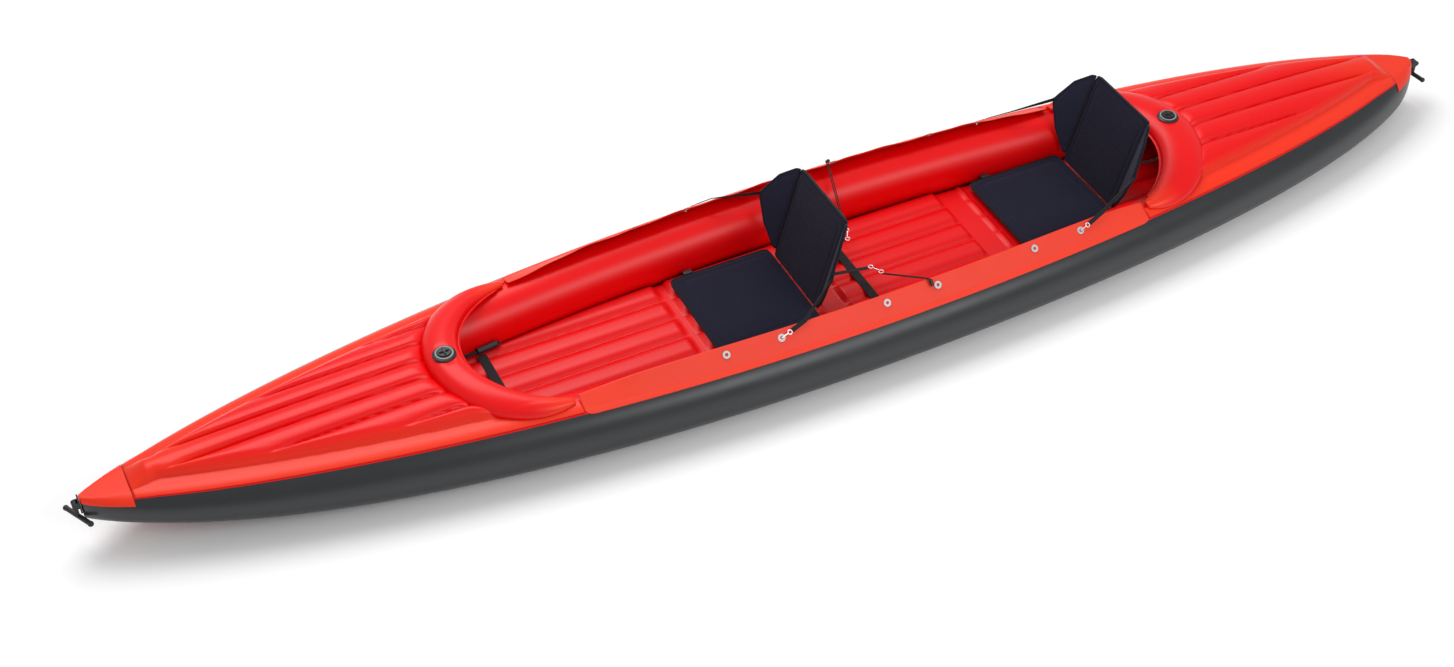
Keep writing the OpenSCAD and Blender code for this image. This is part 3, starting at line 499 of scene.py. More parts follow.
def use_group(tree, name, inputs):
    """Places one of the shared groups in a material."""
    placed = node(tree, "Group", node_tree=GROUPS[name])
    for key, value in inputs.items():
        connect(tree, value, placed.inputs[key])
    return placed


def blank_material(name):
    """A material with its Principled shader, its tree and Object coordinates."""
    made = bpy.data.materials.new(name)
    made.use_nodes = True
    tree = made.node_tree
    shader = tree.nodes["Principled BSDF"]
    return made, tree, shader, node(tree, "TexCoord")


def blend_colour(tree, mask, first, second):
    """One colour turning to another by a mask."""
    mix = node(tree, "Mix", data_type="RGBA", blend_type="MIX")
    for socket, value in ((mix.inputs[0], mask), (mix.inputs[6], first), (mix.inputs[7], second)):
        connect(tree, value, socket)
    return mix.outputs[2]


def rgba(values, gain=1.0):
    return (min(values[0] * gain, 1), min(values[1] * gain, 1), min(values[2] * gain, 1), 1)


def finish_shader(tree, shader, tone, roughness, height, strength, distance):
    """Gives a Principled shader its colour, roughness and relief."""
    tree.links.new(tone, shader.inputs["Base Color"])
    tree.links.new(roughness, shader.inputs["Roughness"])
    relief = node(tree, "Bump", {"Height": height, "Strength": strength, "Distance": distance})
    tree.links.new(relief.outputs[0], shader.inputs["Normal"])


def skin_material(name, base, second=None, rough=0.4, specular=0.3, scuffs=0.3, dust=0.2, dents=0.5, bump=0.25):
    """Coated fabric: cloth print, dents, scuffs and dust, and a second colour where the piece's edge_band says."""
    made, tree, shader, coords = blank_material(name)
    place = coords.outputs["Object"]
    grain = use_group(tree, "grain", {"Vector": place, "Scale": 700.0, "Dents": dents})
    wear = use_group(tree, "wear", {"Vector": place, "Scuffs": scuffs, "Dust": dust})
    tone = blend_colour(tree, grain.outputs["Print"], rgba(base, 0.88), rgba(base, 1.1))
    if second is not None:
        mask = node(tree, "Attribute", attribute_name="edge_band")
        tone = blend_colour(tree, mask.outputs["Fac"], tone, rgba(second))
    pale = blend_colour(tree, wear.outputs["Scuff mask"], tone, rgba([min(1, c * 1.5 + 0.03) for c in base]))
    dusty = blend_colour(tree, wear.outputs["Dust mask"], pale, rgba([c * 0.95 + 0.012 for c in base]))
    roughness = math_node(tree, "ADD", math_node(tree, "MULTIPLY", wear.outputs["Dust mask"], 0.25),
                          math_node(tree, "ADD", rough, math_node(tree, "MULTIPLY", grain.outputs["Print"], 0.06)),
                          clamp=True)
    finish_shader(tree, shader, dusty, roughness, grain.outputs["Height"], bump, 0.004)
    shader.inputs["Specular IOR Level"].default_value = specular
    return made


def cloth_material(name, base, threads=620.0, sheen=0.06, rough=0.80):
    """Woven cloth or webbing: threads in relief, painted highlights on their crowns and painted shade between them,
    and a soft sheen.
    """
    made, tree, shader, coords = blank_material(name)
    place = coords.outputs["Object"]
    weave = use_group(tree, "weave", {"Vector": place, "Threads per metre": threads})
    wear = use_group(tree, "wear", {"Vector": place, "Scuffs": 0.15, "Dust": 0.3})
    # Painted highlight and painted shade: the colour runs from darker in the hollows between threads to lighter on
    # their crowns, by the weave's height.
    thread_crowns_painted_light = blend_colour(tree, weave.outputs["Height"], rgba(base, 0.7), rgba(base, 1.5))
    varied = blend_colour(tree, math_node(tree, "MULTIPLY", weave.outputs["Shade"], 0.4), thread_crowns_painted_light,
                          rgba(base, 1.25))
    dusty = blend_colour(tree, wear.outputs["Dust mask"], varied, rgba([c + 0.004 for c in base]))
    roughness = math_node(tree, "ADD", rough, math_node(tree, "MULTIPLY", weave.outputs["Height"], 0.1), clamp=True)
    finish_shader(tree, shader, dusty, roughness, weave.outputs["Height"], 0.6, 0.0009)
    shader.inputs["Specular IOR Level"].default_value = 0.18
    shader.inputs["Sheen Weight"].default_value = sheen
    shader.inputs["Sheen Roughness"].default_value = 0.5
    return made


def moulded_material(name, base, rough=0.42, metal=0.0, pits=900.0, wear_level=0.3):
    """Moulded plastic, rubber or drawn wire: fine pits, rubbed edges and a varied gloss."""
    made, tree, shader, coords = blank_material(name)
    place = coords.outputs["Object"]
    grain = use_group(tree, "grain", {"Vector": place, "Scale": pits, "Dents": 0.1})
    wear = use_group(tree, "wear", {"Vector": place, "Scuffs": wear_level, "Dust": 0.25})
    tone = blend_colour(tree, grain.outputs["Print"], rgba(base, 0.85), rgba(base, 1.15))
    rubbed = blend_colour(tree, wear.outputs["Scuff mask"], tone, rgba([min(1, c * 1.3 + 0.03) for c in base]))
    roughness = math_node(tree, "ADD", rough, math_node(tree, "MULTIPLY", grain.outputs["Print"], 0.12), clamp=True)
    finish_shader(tree, shader, rubbed, roughness, grain.outputs["Height"], 0.3, 0.0008)
    shader.inputs["Metallic"].default_value = metal
    return made


MATERIALS = {}


# ---- Operators ----
class KAYAK_OT_materials(Operator):
    """Build the shared shader groups and every material"""

    bl_idname = "kayak.materials"
    bl_label = "Materials"

    def execute(self, context):
        tones = context.scene.kayak_colours
        GROUPS.update(weave=make_weave_group(), grain=make_grain_group(), wear=make_wear_group())
        MATERIALS.update(
            tube=skin_material("Charcoal tube skin", tones.tube, rough=0.31, specular=0.55, scuffs=0.35, dust=0.35,
                               dents=0.6, bump=0.3),
            inner=skin_material("Red tube skin", tones.red, rough=0.30, scuffs=0.1, dust=0.1, bump=0.15),
            deck=skin_material("Red deck skin", tones.red, tones.skirt, rough=0.30, scuffs=0.12, dust=0.12,
                               bump=0.22),
            arch=skin_material("Red arch skin", tones.red, tones.skirt, rough=0.30, scuffs=0.1, dust=0.1,
                               bump=0.2),
            cap=skin_material("Red tip cap", tones.skirt, rough=0.4, scuffs=0.2, dust=0.2, dents=1.2, bump=0.45),
            strip=skin_material("Orange strip skin", tones.strip, rough=0.46, scuffs=0.15, dust=0.1, bump=0.2),
            floor=skin_material("Red floor skin", tones.floor, rough=0.32, scuffs=0.2, dust=0.25, bump=0.2),
            bottom=skin_material("Bottom sheet skin", tones.bottom, rough=0.6, scuffs=0.5, dust=0.5, bump=0.35),
            seat=cloth_material("Seat cloth", tones.seat),
            wing=cloth_material("Wing cloth", tones.wing),
            binding=cloth_material("Binding tape", tones.binding, threads=1400.0, sheen=0.1),
            webbing=cloth_material("Black webbing", tones.webbing, threads=1100.0, sheen=0.1, rough=0.7),
            cord=cloth_material("Black cord", tones.webbing, threads=1500.0, sheen=0.1, rough=0.65),
            plastic=moulded_material("Black plastic", tones.plastic, rough=0.34),
            rubber=moulded_material("Black rubber", tones.plastic, rough=0.48, pits=500.0),
            # The pale tone of this material is a painted highlight on the valve cap ring.
            pale=moulded_material("Ring plastic with painted highlight", tones.pale, rough=0.4),
            eyelet=moulded_material("Dull plated eyelet", [tone * 0.62 for tone in tones.metal], rough=0.45,
                                    metal=0.6),
            metal=moulded_material("Bright wire", tones.metal, rough=0.24, metal=1.0, pits=1500.0, wear_level=0.1),
        )
        return {"FINISHED"}


class KAYAK_OT_camera(Operator):
    """Place the camera"""

    bl_idname = "kayak.camera"
    bl_label = "Camera"

    def execute(self, context):
        view = context.scene.kayak_view
        lens = bpy.data.cameras.new("Camera")
        lens.sensor_fit = "HORIZONTAL"
        lens.sensor_width = 36.0
        lens.lens = 36.0 * view.focal
        lens.clip_end = 100.0
        camera = bpy.data.objects.new("Camera", lens)
        context.scene.collection.objects.link(camera)
        across = Vector((-math.sin(view.azimuth), math.cos(view.azimuth), 0))
        behind = Vector((math.cos(view.elevation) * math.cos(view.azimuth),
                         math.cos(view.elevation) * math.sin(view.azimuth), math.sin(view.elevation)))
        turn = Matrix((across, behind.cross(across), behind)).transposed().to_4x4()
        camera.matrix_world = Matrix.Translation(Vector(view.place)) @ turn
        context.scene.camera = camera
        return {"FINISHED"}


class KAYAK_OT_side_tubes(Operator):
    """Make the two side tubes, charcoal outside and red towards the cockpit"""

    bl_idname = "kayak.side_tubes"
    bl_label = "Side tubes"

    def execute(self, context):
        lines = Lines()
        for name, side in SIDES:
            def place(u, v):
                x = lines.ring_x(u)
                angle = 2 * math.pi * v
                point = lines.on_tube(x, angle)
                return Vector((x, side * point.y, point.z))

            bm = warped_grid(context.scene.kayak_hull.rings, 60, place, seal=True)
            for face in bm.faces:
                mid = face.calc_center_median()
                angle = math.degrees(math.atan2((mid.z - lines.middle(mid.x)) / lines.rise(mid.x),
                                                (abs(mid.y) - lines.crest(mid.x)) / lines.spread(mid.x))) % 360
                face.material_index = 1 if 60 < angle < 236 else 0
            piece(f"{name}_tube_skin", bm, MATERIALS["tube"], "hull", (f"{name}_side_tube",),
                  materials=(MATERIALS["inner"],))
        return {"FINISHED"}


def floor_bars(x):
    """1 where the floor's bars stand and 0 in the low strips before and behind the seats."""
    level = 0.0
    for start, end in ((-1.9, -0.90), (-0.55, -0.545), (-0.462, -0.012), (0.06, 0.402), (0.440, 1.9)):
        ramp = 0.006
        level = max(level, min(1.0, max(0.0, min(x - start, end - x) / ramp + 0.5)))
    return level


class KAYAK_OT_floor(Operator):
    """Make the inflated floor with its long bars, and the bottom sheet under it"""

    bl_idname = "kayak.floor"
    bl_label = "Floor"

    def execute(self, context):
        lines, sizes = Lines(), context.scene.kayak_floor
        low, high = -1.722, 1.64

        def place(u, v):
            x = low + (high - low) * u
            half = lines.inner(x) - 2 * GAP
            y = (2 * v - 1) * half
            from_groove = abs(abs(y / sizes.pitch) % 1.0 - 0.5) * 2
            crown = 1 - (1 - from_groove) ** 3.2
            level = sizes.top - sizes.rib * (1 - crown * floor_bars(x))
            edge = min(1.0, (half - abs(y)) / 0.012)
            return Vector((x, y, lines.keel(x) + level - 0.004 * (1 - edge) ** 2))

        bm = warped_grid(420, 112, place)
        thicken(bm, 0.003, (0, 0, 1))
        piece("floor_skin", bm, MATERIALS["floor"], "hull", ("floor_chamber",))
        softened("bottom_sheet", "hull_bottom", MATERIALS["bottom"], 0.0008)
        return {"FINISHED"}


def ridge_height(lines, end, x, y, pitch, depth, skirt):
    """Rise of a deck over its base: long round ridges with narrow grooves that fade out at the skirt."""
    room = lines.deck_edge(x) - skirt - abs(y)
    if room <= 0:
        return 0.0
    along = y / pitch
    from_middle = abs(along - round(along)) * 2
    valley = 0.30 * from_middle ** 2 + 0.70 * from_middle ** 10
    fade = min(1.0, max(0.0, (room - 0.006) / 0.030))
    fade = fade * fade * (3 - 2 * fade)
    shoulder = math.sqrt(max(0.0, 1 - (1 - min(1.0, room / 0.030)) ** 2))
    return depth * shoulder * (1 - 0.92 * valley * fade)


class KAYAK_OT_decks(Operator):
    """Make the inflated bow and stern decks with their ridges, grooves and flat skirts"""

    bl_idname = "kayak.decks"
    bl_label = "Decks"

    def execute(self, context):
        lines, sizes = Lines(), context.scene.kayak_decks
        tail, setback, clear = 0.89, 0.025, 0.013
        finish = lines.ring_x(CAP_START) - 2 * GAP
        for name, end, pitch in (("bow", 1, sizes.bow_pitch), ("stern", -1, sizes.stern_pitch)):
            def start(w):
                if abs(w) >= tail:
                    return lines.arch_x[end] - clear
                return lines.arch_x[end] + setback + lines.reach[end] * math.sqrt(1 - (w / tail) ** 2)

            def place(u, v):
                upper = v <= 0.5 or u in (0.0, 1.0)
                w = 4 * v - 1 if v <= 0.5 else 3 - 4 * v
                first = start(w)
                x = end * (first + u ** 1.15 * (finish - first))
                y = w * lines.deck_edge(x)
                if upper:
                    bow_out = math.sqrt(max(0.0, 1 - min(1.0, abs(w) / 0.93) ** 2))
                    beyond = (abs(x) - (lines.arch_x[end] + 0.048 + lines.reach[end] * bow_out)) / 0.05
                    begin = math.sqrt(max(0.0, 1 - (1 - min(1.0, max(0.0, beyond))) ** 2))
                    stop = min(1.0, max(0.0, (finish - abs(x)) / 0.07))
                    rise = ridge_height(lines, end, x, y, pitch, sizes.groove, sizes.skirt * (0.4 + 0.6 * stop))
                    return Vector((x, y, lines.deck(x, y) + rise * begin * min(1.0, stop * 1.5)))
                sag = 1 if abs(y) < lines.crest(x) else 0
                low = lines.saddle(x, y) - 0.030 * lines.rise(x) / lines.radius * sag
                return Vector((x, y, max(low, lines.tube_top(x, y) + GAP)))

            bm = warped_grid(150, 260, place, seal=True)
            deck = piece(f"{name}_deck_skin", bm, MATERIALS["deck"], "hull", (f"{name}_deck",))

            def skirt_share(point):
                near = step_up(abs(point.y) - lines.deck_edge(point.x), -sizes.skirt * 1.5, -sizes.skirt * 0.8)
                return max(near, step_up(abs(point.x), finish - 0.35, finish) * 0.8)

            paint_band(deck, skirt_share)
        return {"FINISHED"}


class KAYAK_OT_arches(Operator):
    """Make the round coaming arches in front of and behind the cockpit"""

    bl_idname = "kayak.arches"
    bl_label = "Coaming arches"

    def execute(self, context):
        lines, sizes = Lines(), context.scene.kayak_decks
        for name, end in (("bow", 1), ("stern", -1)):
            box_low, box_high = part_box(f"{name}_valve_body")
            valve = Vector(((box_low[0] + box_high[0]) / 2, 0))
            seat = lines.deck(valve.x, 0) + 0.0008 + sizes.arch_height - 0.003

            def place(u, v):
                angle = math.pi * (u - 0.5)
                turn = 2 * math.pi * v
                spot = lines.arch_point(end, angle, math.cos(turn))
                base = lines.deck(spot.x, spot.y) + 0.0008
                if 0.5 < v < 1.0:
                    return Vector((spot.x, spot.y, base))
                top = base + 0.003 + (sizes.arch_height - 0.003) * lines.swell(angle) * abs(math.sin(turn)) ** 0.9
                near = (Vector(spot[:2]) - valve).length
                if near < 0.048:
                    dip = min(1.0, max(0.0, (0.048 - near) / 0.016))
                    top = top + (min(top, seat) - top) * dip * dip * (3 - 2 * dip)
                return Vector((spot.x, spot.y, top))

            def seam(u, v):
                angle = 0.94 * math.pi * (u - 0.5)
                turn = 2 * math.pi * v
                width = sizes.bow_arch_width * lines.swell(angle)
                spot = lines.arch_point(end, angle, -1.0 - 0.0045 * math.cos(turn) * 2 / width)
                base = lines.deck(spot.x, spot.y) + 0.0034
                return Vector((spot.x, spot.y, base + 0.0026 * math.sin(turn)))

            piece(f"{name}_arch_seam", warped_grid(110, 12, seam, seal=True), MATERIALS["arch"], "hull", ())
            bm = warped_grid(160, 72, place, seal=True)
            well = [face for face in bm.faces if (face.calc_center_median().xy - valve).length < 0.0255]
            bmesh.ops.delete(bm, geom=well, context="FACES")
            bmesh.ops.bridge_loops(bm, edges=[edge for edge in bm.edges if edge.is_boundary])
            bmesh.ops.recalc_face_normals(bm, faces=bm.faces)
            arch = piece(f"{name}_arch_skin", bm, MATERIALS["arch"], "hull", (f"{name}_arch",))
            tail_x = lines.arch_x[end] + 0.3 * lines.reach[end]
            paint_band(arch, lambda point: step_up(tail_x - abs(point.x), -0.05, 0.06))
        return {"FINISHED"}


class KAYAK_OT_strips(Operator):
    """Make the gunwale strips: a glued band, a fold line and a standing flap with a rippled edge"""

    bl_idname = "kayak.strips"
    bl_label = "Gunwale strips"

    def execute(self, context):
        lines, sizes = Lines(), context.scene.kayak_decks
        low, high = lines.strip_ends()
        for name, side in SIDES:
            def place(u, v):
                x = low + (high - low) * u
                if v < BAND_SHARE:
                    angle = math.radians(STRIP_EDGE + (STRIP_FOLD - STRIP_EDGE) * v / BAND_SHARE)
                    corner = max(0.0, 1 - min(x - low, high - x) / 0.026)
                    angle += math.radians(9) * (1 - v / BAND_SHARE) * (1 - math.sqrt(1 - corner ** 2))
                    point = lines.on_tube(x, angle, GAP + 0.0012)
                    if v > 0.2:
                        point.z += 0.0007
                else:
                    up = (v - BAND_SHARE) / (1 - BAND_SHARE)
                    ripple = sizes.ripple * up * up * (math.sin(x * 21 + 1.3) + 0.6 * math.sin(x * 47 + side))
                    point = lines.flap_point(x, up * lines.flap_width(x), 0.001 + ripple)
                return Vector((point.x, side * point.y, point.z))

            bm = warped_grid(300, 20, place)
            thicken(bm, 0.0018, (0, side, 0.8))
            piece(f"{name}_strip_skin", bm, MATERIALS["strip"], "hull", (f"{name}_gunwale_strip",))
        return {"FINISHED"}


class KAYAK_OT_tip_caps(Operator):
    """Soften the caps over the bow and stern tips"""

    bl_idname = "kayak.tip_caps"
    bl_label = "Tip caps"

    def execute(self, context):
        for name in ("bow", "stern"):
            softened(f"{name}_cap", f"{name}_cap_skin", MATERIALS["cap"], 0.0009)
        return {"FINISHED"}


def pad(name, outline, place, thickness, material, body, replaces, channel=0.0013):
    """A crowned panel with a rounded rim and a sewn channel inside its edge; outline gives plan points by turn."""
    rim = [Vector(outline(step / RIM_STEPS)) for step in range(RIM_STEPS + 1)]
    centre = sum(rim[:-1], Vector((0, 0))) / RIM_STEPS

    def shape(u, v):
        turn = math.pi * v
        inward = abs(math.sin(turn)) ** 0.32
        level = math.cos(turn)
        height = thickness * (0.5 - 0.5 * math.copysign(abs(level) ** 0.55, level))
        groove = channel * math.exp(-((inward - 0.86) / 0.03) ** 2)
        height += groove if height < thickness / 2 else -groove
        edge = rim[min(RIM_STEPS, round(u * RIM_STEPS))]
        spot = centre + (edge - centre) * inward
        return place(spot.x, spot.y, height)

    bm = warped_grid(RIM_STEPS, 44, shape, seal=True)
    obj = piece(name, bm, material, body, replaces)
    modifier(obj, "SUBSURF", "Smooth", levels=1, render_levels=1)
    return obj


def tape(name, outline, place, level, size, body):
    """Binding tape round a panel's rim: a flattened tube swept along the outline."""
    rim = [Vector(outline(step / RIM_STEPS)) for step in range(RIM_STEPS)]

    def shape(u, v):
        step = round(u * RIM_STEPS) % RIM_STEPS
        before, here, after = rim[step - 1], rim[step], rim[(step + 1) % RIM_STEPS]
        run = (after - before).normalized()
        out = Vector((run.y, -run.x))
        turn = 2 * math.pi * v
        spot = here + out * (size[0] * math.cos(turn) - size[0] * 0.55)
        return place(spot.x, spot.y, level + size[1] * math.sin(turn))

    bm = warped_grid(RIM_STEPS, 14, shape)
    bmesh.ops.remove_doubles(bm, verts=bm.verts, dist=1e-6)
    bmesh.ops.recalc_face_normals(bm, faces=bm.faces)
    return piece(name, bm, MATERIALS["binding"], body, ())


def rounded_outline(long, wide, power=9.0):
    """Outline of a panel with small rounded corners, turning from 0 to 1."""
    def outline(turn):
        angle = 2 * math.pi * turn
        c, s = math.cos(angle), math.sin(angle)
        size = (abs(c) ** power + abs(s) ** power) ** (-1 / power)
        return (long / 2 + long / 2 * c * size, wide / 2 * s * size)
    return outline


def wing_outline(reach, height):
    """Outline of a wing: straight at its fold, pointed outwards near the middle of its height."""
    corners = [(0.0006, 0.075), (0.1, 0.068), (0.62, 0.28), (0.98, 0.52), (1.0, 0.57), (0.95, 0.61), (0.6, 0.83),
               (0.15, 0.97), (0.0006, 0.98)]
    points = [Vector((a * reach, b * height)) for a, b in corners]
    spans = [(points[i], points[(i + 1) % len(points)]) for i in range(len(points))]
    lengths = [(b - a).length for a, b in spans]
    total = sum(lengths)

    def outline(turn):
        left = (turn % 1.0) * total
        for (a, b), span in zip(spans, lengths):
            if left <= span:
                return a + (b - a) * (left / span)
            left -= span
        return points[0]
    return outline


class KAYAK_OT_seats(Operator):
    """Make both seats: bases, backs and folding wings, with their binding"""

    bl_idname = "kayak.seats"
    bl_label = "Seats"

    def execute(self, context):
        seats = context.scene.kayak_seats
        lines = Lines()
        floor_level = context.scene.kayak_floor.top + GAP
        hinge_z = floor_level + seats.base_thickness + GAP
        for name, seat_x in (("front", seats.front_x), ("rear", seats.rear_x)):
            width = min(seats.base_width, 2 * (lines.inner(seat_x) - 2 * GAP))

            def on_base(p, q, height):
                return Vector((seat_x + GAP + p, q, floor_level + height))

            def on_back(p, q, height):
                ahead = height - seats.back_thickness
                return Vector((seat_x + ahead * math.cos(seats.slope) - p * math.sin(seats.slope), q,
                               hinge_z + ahead * math.sin(seats.slope) + p * math.cos(seats.slope)))

            base_line = rounded_outline(seats.base_length, width, 26.0)
            pad(f"{name}_base_pad", base_line, on_base, seats.base_thickness, MATERIALS["seat"],
                BODY_OF[f"{name}_seat_base"], (f"{name}_seat_base",))
            tape(f"{name}_base_binding", base_line, on_base, seats.base_thickness / 2, (0.0022, 0.0058),
                 BODY_OF[f"{name}_seat_base"])
            back_line = rounded_outline(seats.back_height - GAP, seats.back_width, 34.0)

            def back_outline(turn):
                p, q = back_line(turn)
                return (p + GAP, q)

            body = BODY_OF[f"{name}_seat_back"]
            pad(f"{name}_back_pad", back_outline, on_back, seats.back_thickness, MATERIALS["seat"], body,
                (f"{name}_seat_back",))
            tape(f"{name}_back_binding", back_outline, on_back, seats.back_thickness / 2, (0.0020, 0.0052), body)
            for side_name, side in SIDES:
                fold_y = seats.back_width / 2 + GAP

                def on_wing(p, q, height):
                    ahead = height - seats.wing_thickness
                    forward = p * math.sin(seats.fold) + ahead * math.cos(seats.fold)
                    out = fold_y + p * math.cos(seats.fold) - ahead * math.sin(seats.fold)
                    return Vector((seat_x + forward * math.cos(seats.slope) - q * math.sin(seats.slope), side * out,
                                   hinge_z + forward * math.sin(seats.slope) + q * math.cos(seats.slope)))

                outline = wing_outline(seats.wing_reach, seats.back_height)
                node_name = f"{name}_{side_name}_wing"
                pad(f"{name}_{side_name}_wing_pad", outline, on_wing, seats.wing_thickness, MATERIALS["wing"],
                    BODY_OF[node_name], (node_name,))
                tape(f"{name}_{side_name}_wing_binding", outline, on_wing, seats.wing_thickness / 2, (0.0018, 0.0046),
                     BODY_OF[node_name])
        return {"FINISHED"}


class KAYAK_OT_webbing(Operator):
    """Make the straps, tethers, cords and the foot brace"""

    bl_idname = "kayak.webbing"
    bl_label = "Webbing and cords"

    def execute(self, context):
        for node_name in ("bow_foot_strap", "mid_foot_strap", "foot_side_webs"):
            softened(node_name, f"{node_name}_soft", MATERIALS["webbing"], 0.0007)
        softened("foot_sleeves", "foot_sleeves_soft", MATERIALS["rubber"], 0.0009)
        softened("front_tether_cords", "front_tether_cords_soft", MATERIALS["cord"], 0.0)
        # Straps and cords between a back and the hull ride on no body and stay where they are as the back reclines; 1
        # runs forward
        for node_name, back, forward, width in (("front_side_straps", "front_back", 1, 0.0007),
                                                ("rear_side_straps", "rear_back", 1, 0.0007),
                                                ("front_tether_webs", "front_back", -1, 0.0007),
                                                ("rear_tether_cords", "rear_back", -1, 0.0)):
            cloth = MATERIALS["webbing" if width else "cord"]
            strap = softened(node_name, f"{node_name}_soft", cloth, width, bends=True)
            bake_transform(strap)
        return {"FINISHED"}


class KAYAK_OT_valves(Operator):
    """Make the domed valve flanges and the grips of their caps"""

    bl_idname = "kayak.valves"
    bl_label = "Valves"

    def execute(self, context):
        for name in ("bow", "stern"):
            low, high = (Vector(corner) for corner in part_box(f"{name}_valve_body"))
            axis = (low + high) / 2
            top, radius = high.z, (high.x - low.x) / 2
            bottom = low.z
            profile = [(0.0131, bottom), (0.0208, bottom), (0.0208, top - 0.0078), (radius - 0.0008, top - 0.0076),
                       (radius, top - 0.0064), (radius - 0.0012, top - 0.0046), (radius - 0.006, top - 0.0028),
                       (0.0215, top - 0.0022), (0.0200, top - 0.0004), (0.0188, top), (0.0140, top - 0.0003),
                       (0.0131, top - 0.0012)]
            bm = bmesh.new()
            verts = [bm.verts.new((axis.x + r, axis.y, z)) for r, z in profile]
            edges = [bm.edges.new((verts[i], verts[(i + 1) % len(verts)])) for i in range(len(verts))]
            bmesh.ops.spin(bm, geom=verts + edges, cent=(axis.x, axis.y, 0), axis=(0, 0, 1), angle=2 * math.pi,
                           steps=72, use_merge=True)
            bmesh.ops.remove_doubles(bm, verts=bm.verts, dist=1e-6)
            bmesh.ops.recalc_face_normals(bm, faces=bm.faces)
            flange = piece(f"{name}_valve_flange", bm, MATERIALS["plastic"], BODY_OF[f"{name}_valve_body"],
                           (f"{name}_valve_body",))
            modifier(flange, "WEIGHTED_NORMAL", "Even shading", keep_sharp=True)
            softened(f"{name}_valve_cap", f"{name}_valve_grip", MATERIALS["plastic"], 0.0009)
            # The cap ring is given the pale tone, a painted highlight.
            softened(f"{name}_cap_ring", f"{name}_valve_ring", MATERIALS["pale"], 0.0006)
        return {"FINISHED"}


class KAYAK_OT_fittings(Operator):
    """Finish the eyelets, hooks, clips, anchors and handles"""

    bl_idname = "kayak.fittings"
    bl_label = "Fittings"

    def execute(self, context):
        kept = {"port_eyelets": "eyelet", "starboard_eyelets": "eyelet", "front_side_hooks": "metal",
                "rear_side_hooks": "metal", "front_tether_hooks": "metal", "bow_valve_stem": "metal",
                "stern_valve_stem": "metal", "bow_valve_spring": "metal", "stern_valve_spring": "metal"}
        for node_name, material in kept.items():
            mesh = frame["nodes"][node_name].data
            mesh.materials.clear()
            mesh.materials.append(MATERIALS[material])
        rounded = {"front_seat_clips": 0.001, "rear_seat_clips": 0.001, "front_tether_stoppers": 0.0012,
                   "rear_tether_fittings": 0.0006, "bow_handle_anchor": 0.0009, "stern_handle_anchor": 0.0009,
                   "bow_handle": 0.0012, "stern_handle": 0.0012}
        for node_name, width in rounded.items():
            rubber = "handle" in node_name
            softened(node_name, f"{node_name}_moulded", MATERIALS["rubber" if rubber else "plastic"],
                     width)
        return {"FINISHED"}


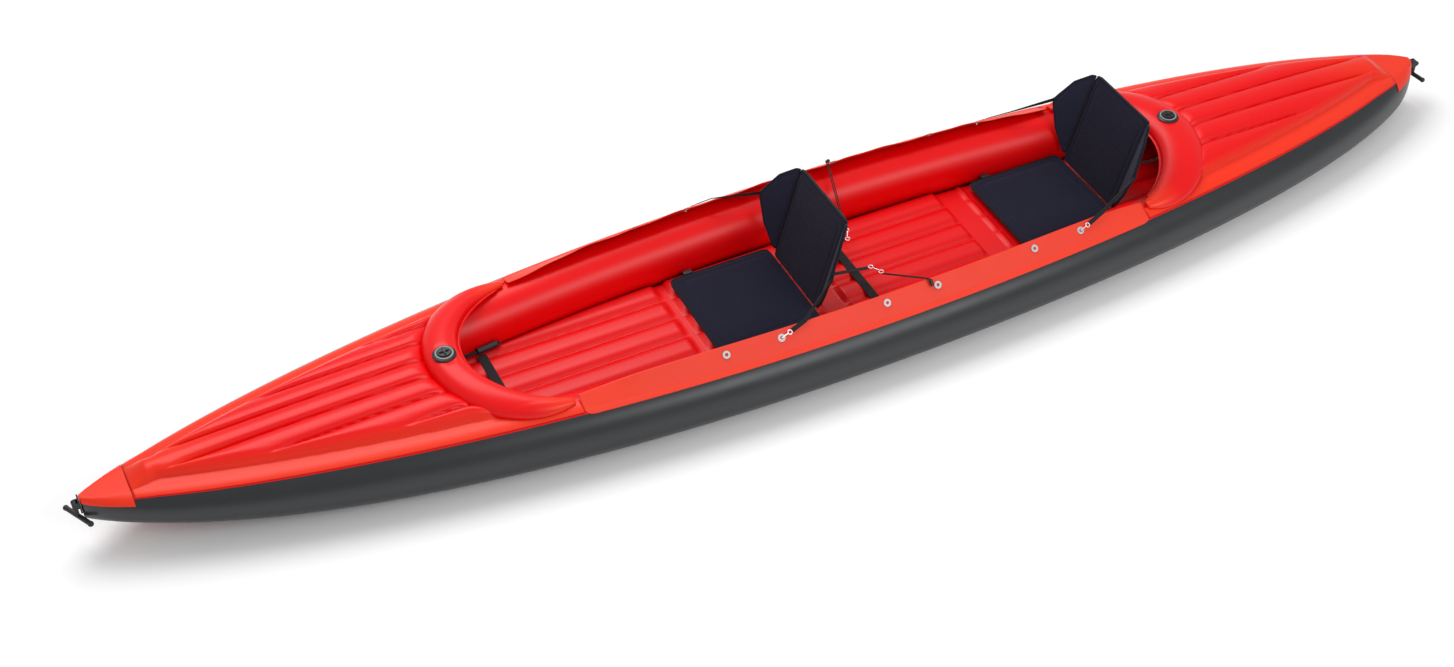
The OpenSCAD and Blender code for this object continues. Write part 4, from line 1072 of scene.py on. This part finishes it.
class KAYAK_OT_stage(Operator):
    """Lay the plain floor and set the soft lights"""

    bl_idname = "kayak.stage"
    bl_label = "Stage and lights"

    def execute(self, context):
        made, tree, shader, coords = blank_material("Stage paper")
        tone = context.scene.kayak_colours.stage
        speck = node(tree, "TexNoise", {"Vector": coords.outputs["Object"], "Scale": 40.0})
        tree.links.new(blend_colour(tree, speck.outputs[0], rgba(tone, 0.995), rgba(tone, 1.0)),
                       shader.inputs["Base Color"])
        shader.inputs["Roughness"].default_value = 0.9
        bm = bmesh.new()
        bmesh.ops.create_grid(bm, x_segments=4, y_segments=4, size=30)
        bmesh.ops.translate(bm, verts=bm.verts, vec=(0, 0, -0.001))
        mesh = bpy.data.meshes.new("Stage")
        bm.to_mesh(mesh)
        bm.free()
        mesh.materials.append(made)
        ground = bpy.data.objects.new("Stage", mesh)
        context.scene.collection.objects.link(ground)
        world = bpy.data.worlds.new("Studio")
        world.use_nodes = True
        world.node_tree.nodes["Background"].inputs[0].default_value = (1, 1, 1, 1)
        world.node_tree.nodes["Background"].inputs[1].default_value = 0.55
        context.scene.world = world
        context.scene.view_settings.view_transform = "Standard"
        for name, place, size, power in (("Overhead", (0.6, -2.2, 4.4), 3.0, 170.0),
                                         ("Side", (-1.8, 4.6, 3.9), 2.2, 110.0)):
            lamp = bpy.data.lights.new(name, "AREA")
            lamp.shape = "RECTANGLE"
            lamp.size, lamp.size_y = size * 1.5, size
            lamp.energy = power
            obj = bpy.data.objects.new(name, lamp)
            aim = (-Vector(place)).to_track_quat("-Z", "Y").to_matrix().to_4x4()
            obj.matrix_world = Matrix.Translation(place) @ aim
            context.scene.collection.objects.link(obj)
        return {"FINISHED"}


class KAYAK_PT_panel(Panel):
    """Sizes, colours and the steps of the build"""

    bl_idname = "KAYAK_PT_panel"
    bl_label = "Inflatable kayak"
    bl_space_type = "VIEW_3D"
    bl_region_type = "UI"
    bl_category = "Kayak"

    def draw(self, context):
        for operator in OPERATORS:
            self.layout.operator(operator.bl_idname)
        for group in GROUP_NAMES:
            box = self.layout.box()
            values = getattr(context.scene, group)
            box.label(text=values.bl_rna.name)
            for key in values.__annotations__:
                box.prop(values, key)


OPERATORS = (KAYAK_OT_camera, KAYAK_OT_materials, KAYAK_OT_side_tubes, KAYAK_OT_floor, KAYAK_OT_decks,
             KAYAK_OT_arches, KAYAK_OT_strips, KAYAK_OT_tip_caps, KAYAK_OT_seats, KAYAK_OT_webbing, KAYAK_OT_valves,
             KAYAK_OT_fittings, KAYAK_OT_stage)
GROUP_NAMES = {"kayak_hull": KayakHull, "kayak_decks": KayakDecks, "kayak_floor": KayakFloor,
               "kayak_seats": KayakSeats, "kayak_colours": KayakColours, "kayak_view": KayakView}


def register():
    for each in (*GROUP_NAMES.values(), *OPERATORS, KAYAK_PT_panel):
        bpy.utils.register_class(each)
    for name, group in GROUP_NAMES.items():
        setattr(bpy.types.Scene, name, PointerProperty(type=group))


def unregister():
    for name in GROUP_NAMES:
        delattr(bpy.types.Scene, name)
    for each in (KAYAK_PT_panel, *reversed(OPERATORS), *reversed(tuple(GROUP_NAMES.values()))):
        bpy.utils.unregister_class(each)


def main():
    """Builds the whole boat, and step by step."""
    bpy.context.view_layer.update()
    register()
    for operator in OPERATORS:
        group, name = operator.bl_idname.split(".")
        getattr(getattr(bpy.ops, group), name)()
    bpy.context.view_layer.update()


if __name__ == "__main__":
    main()
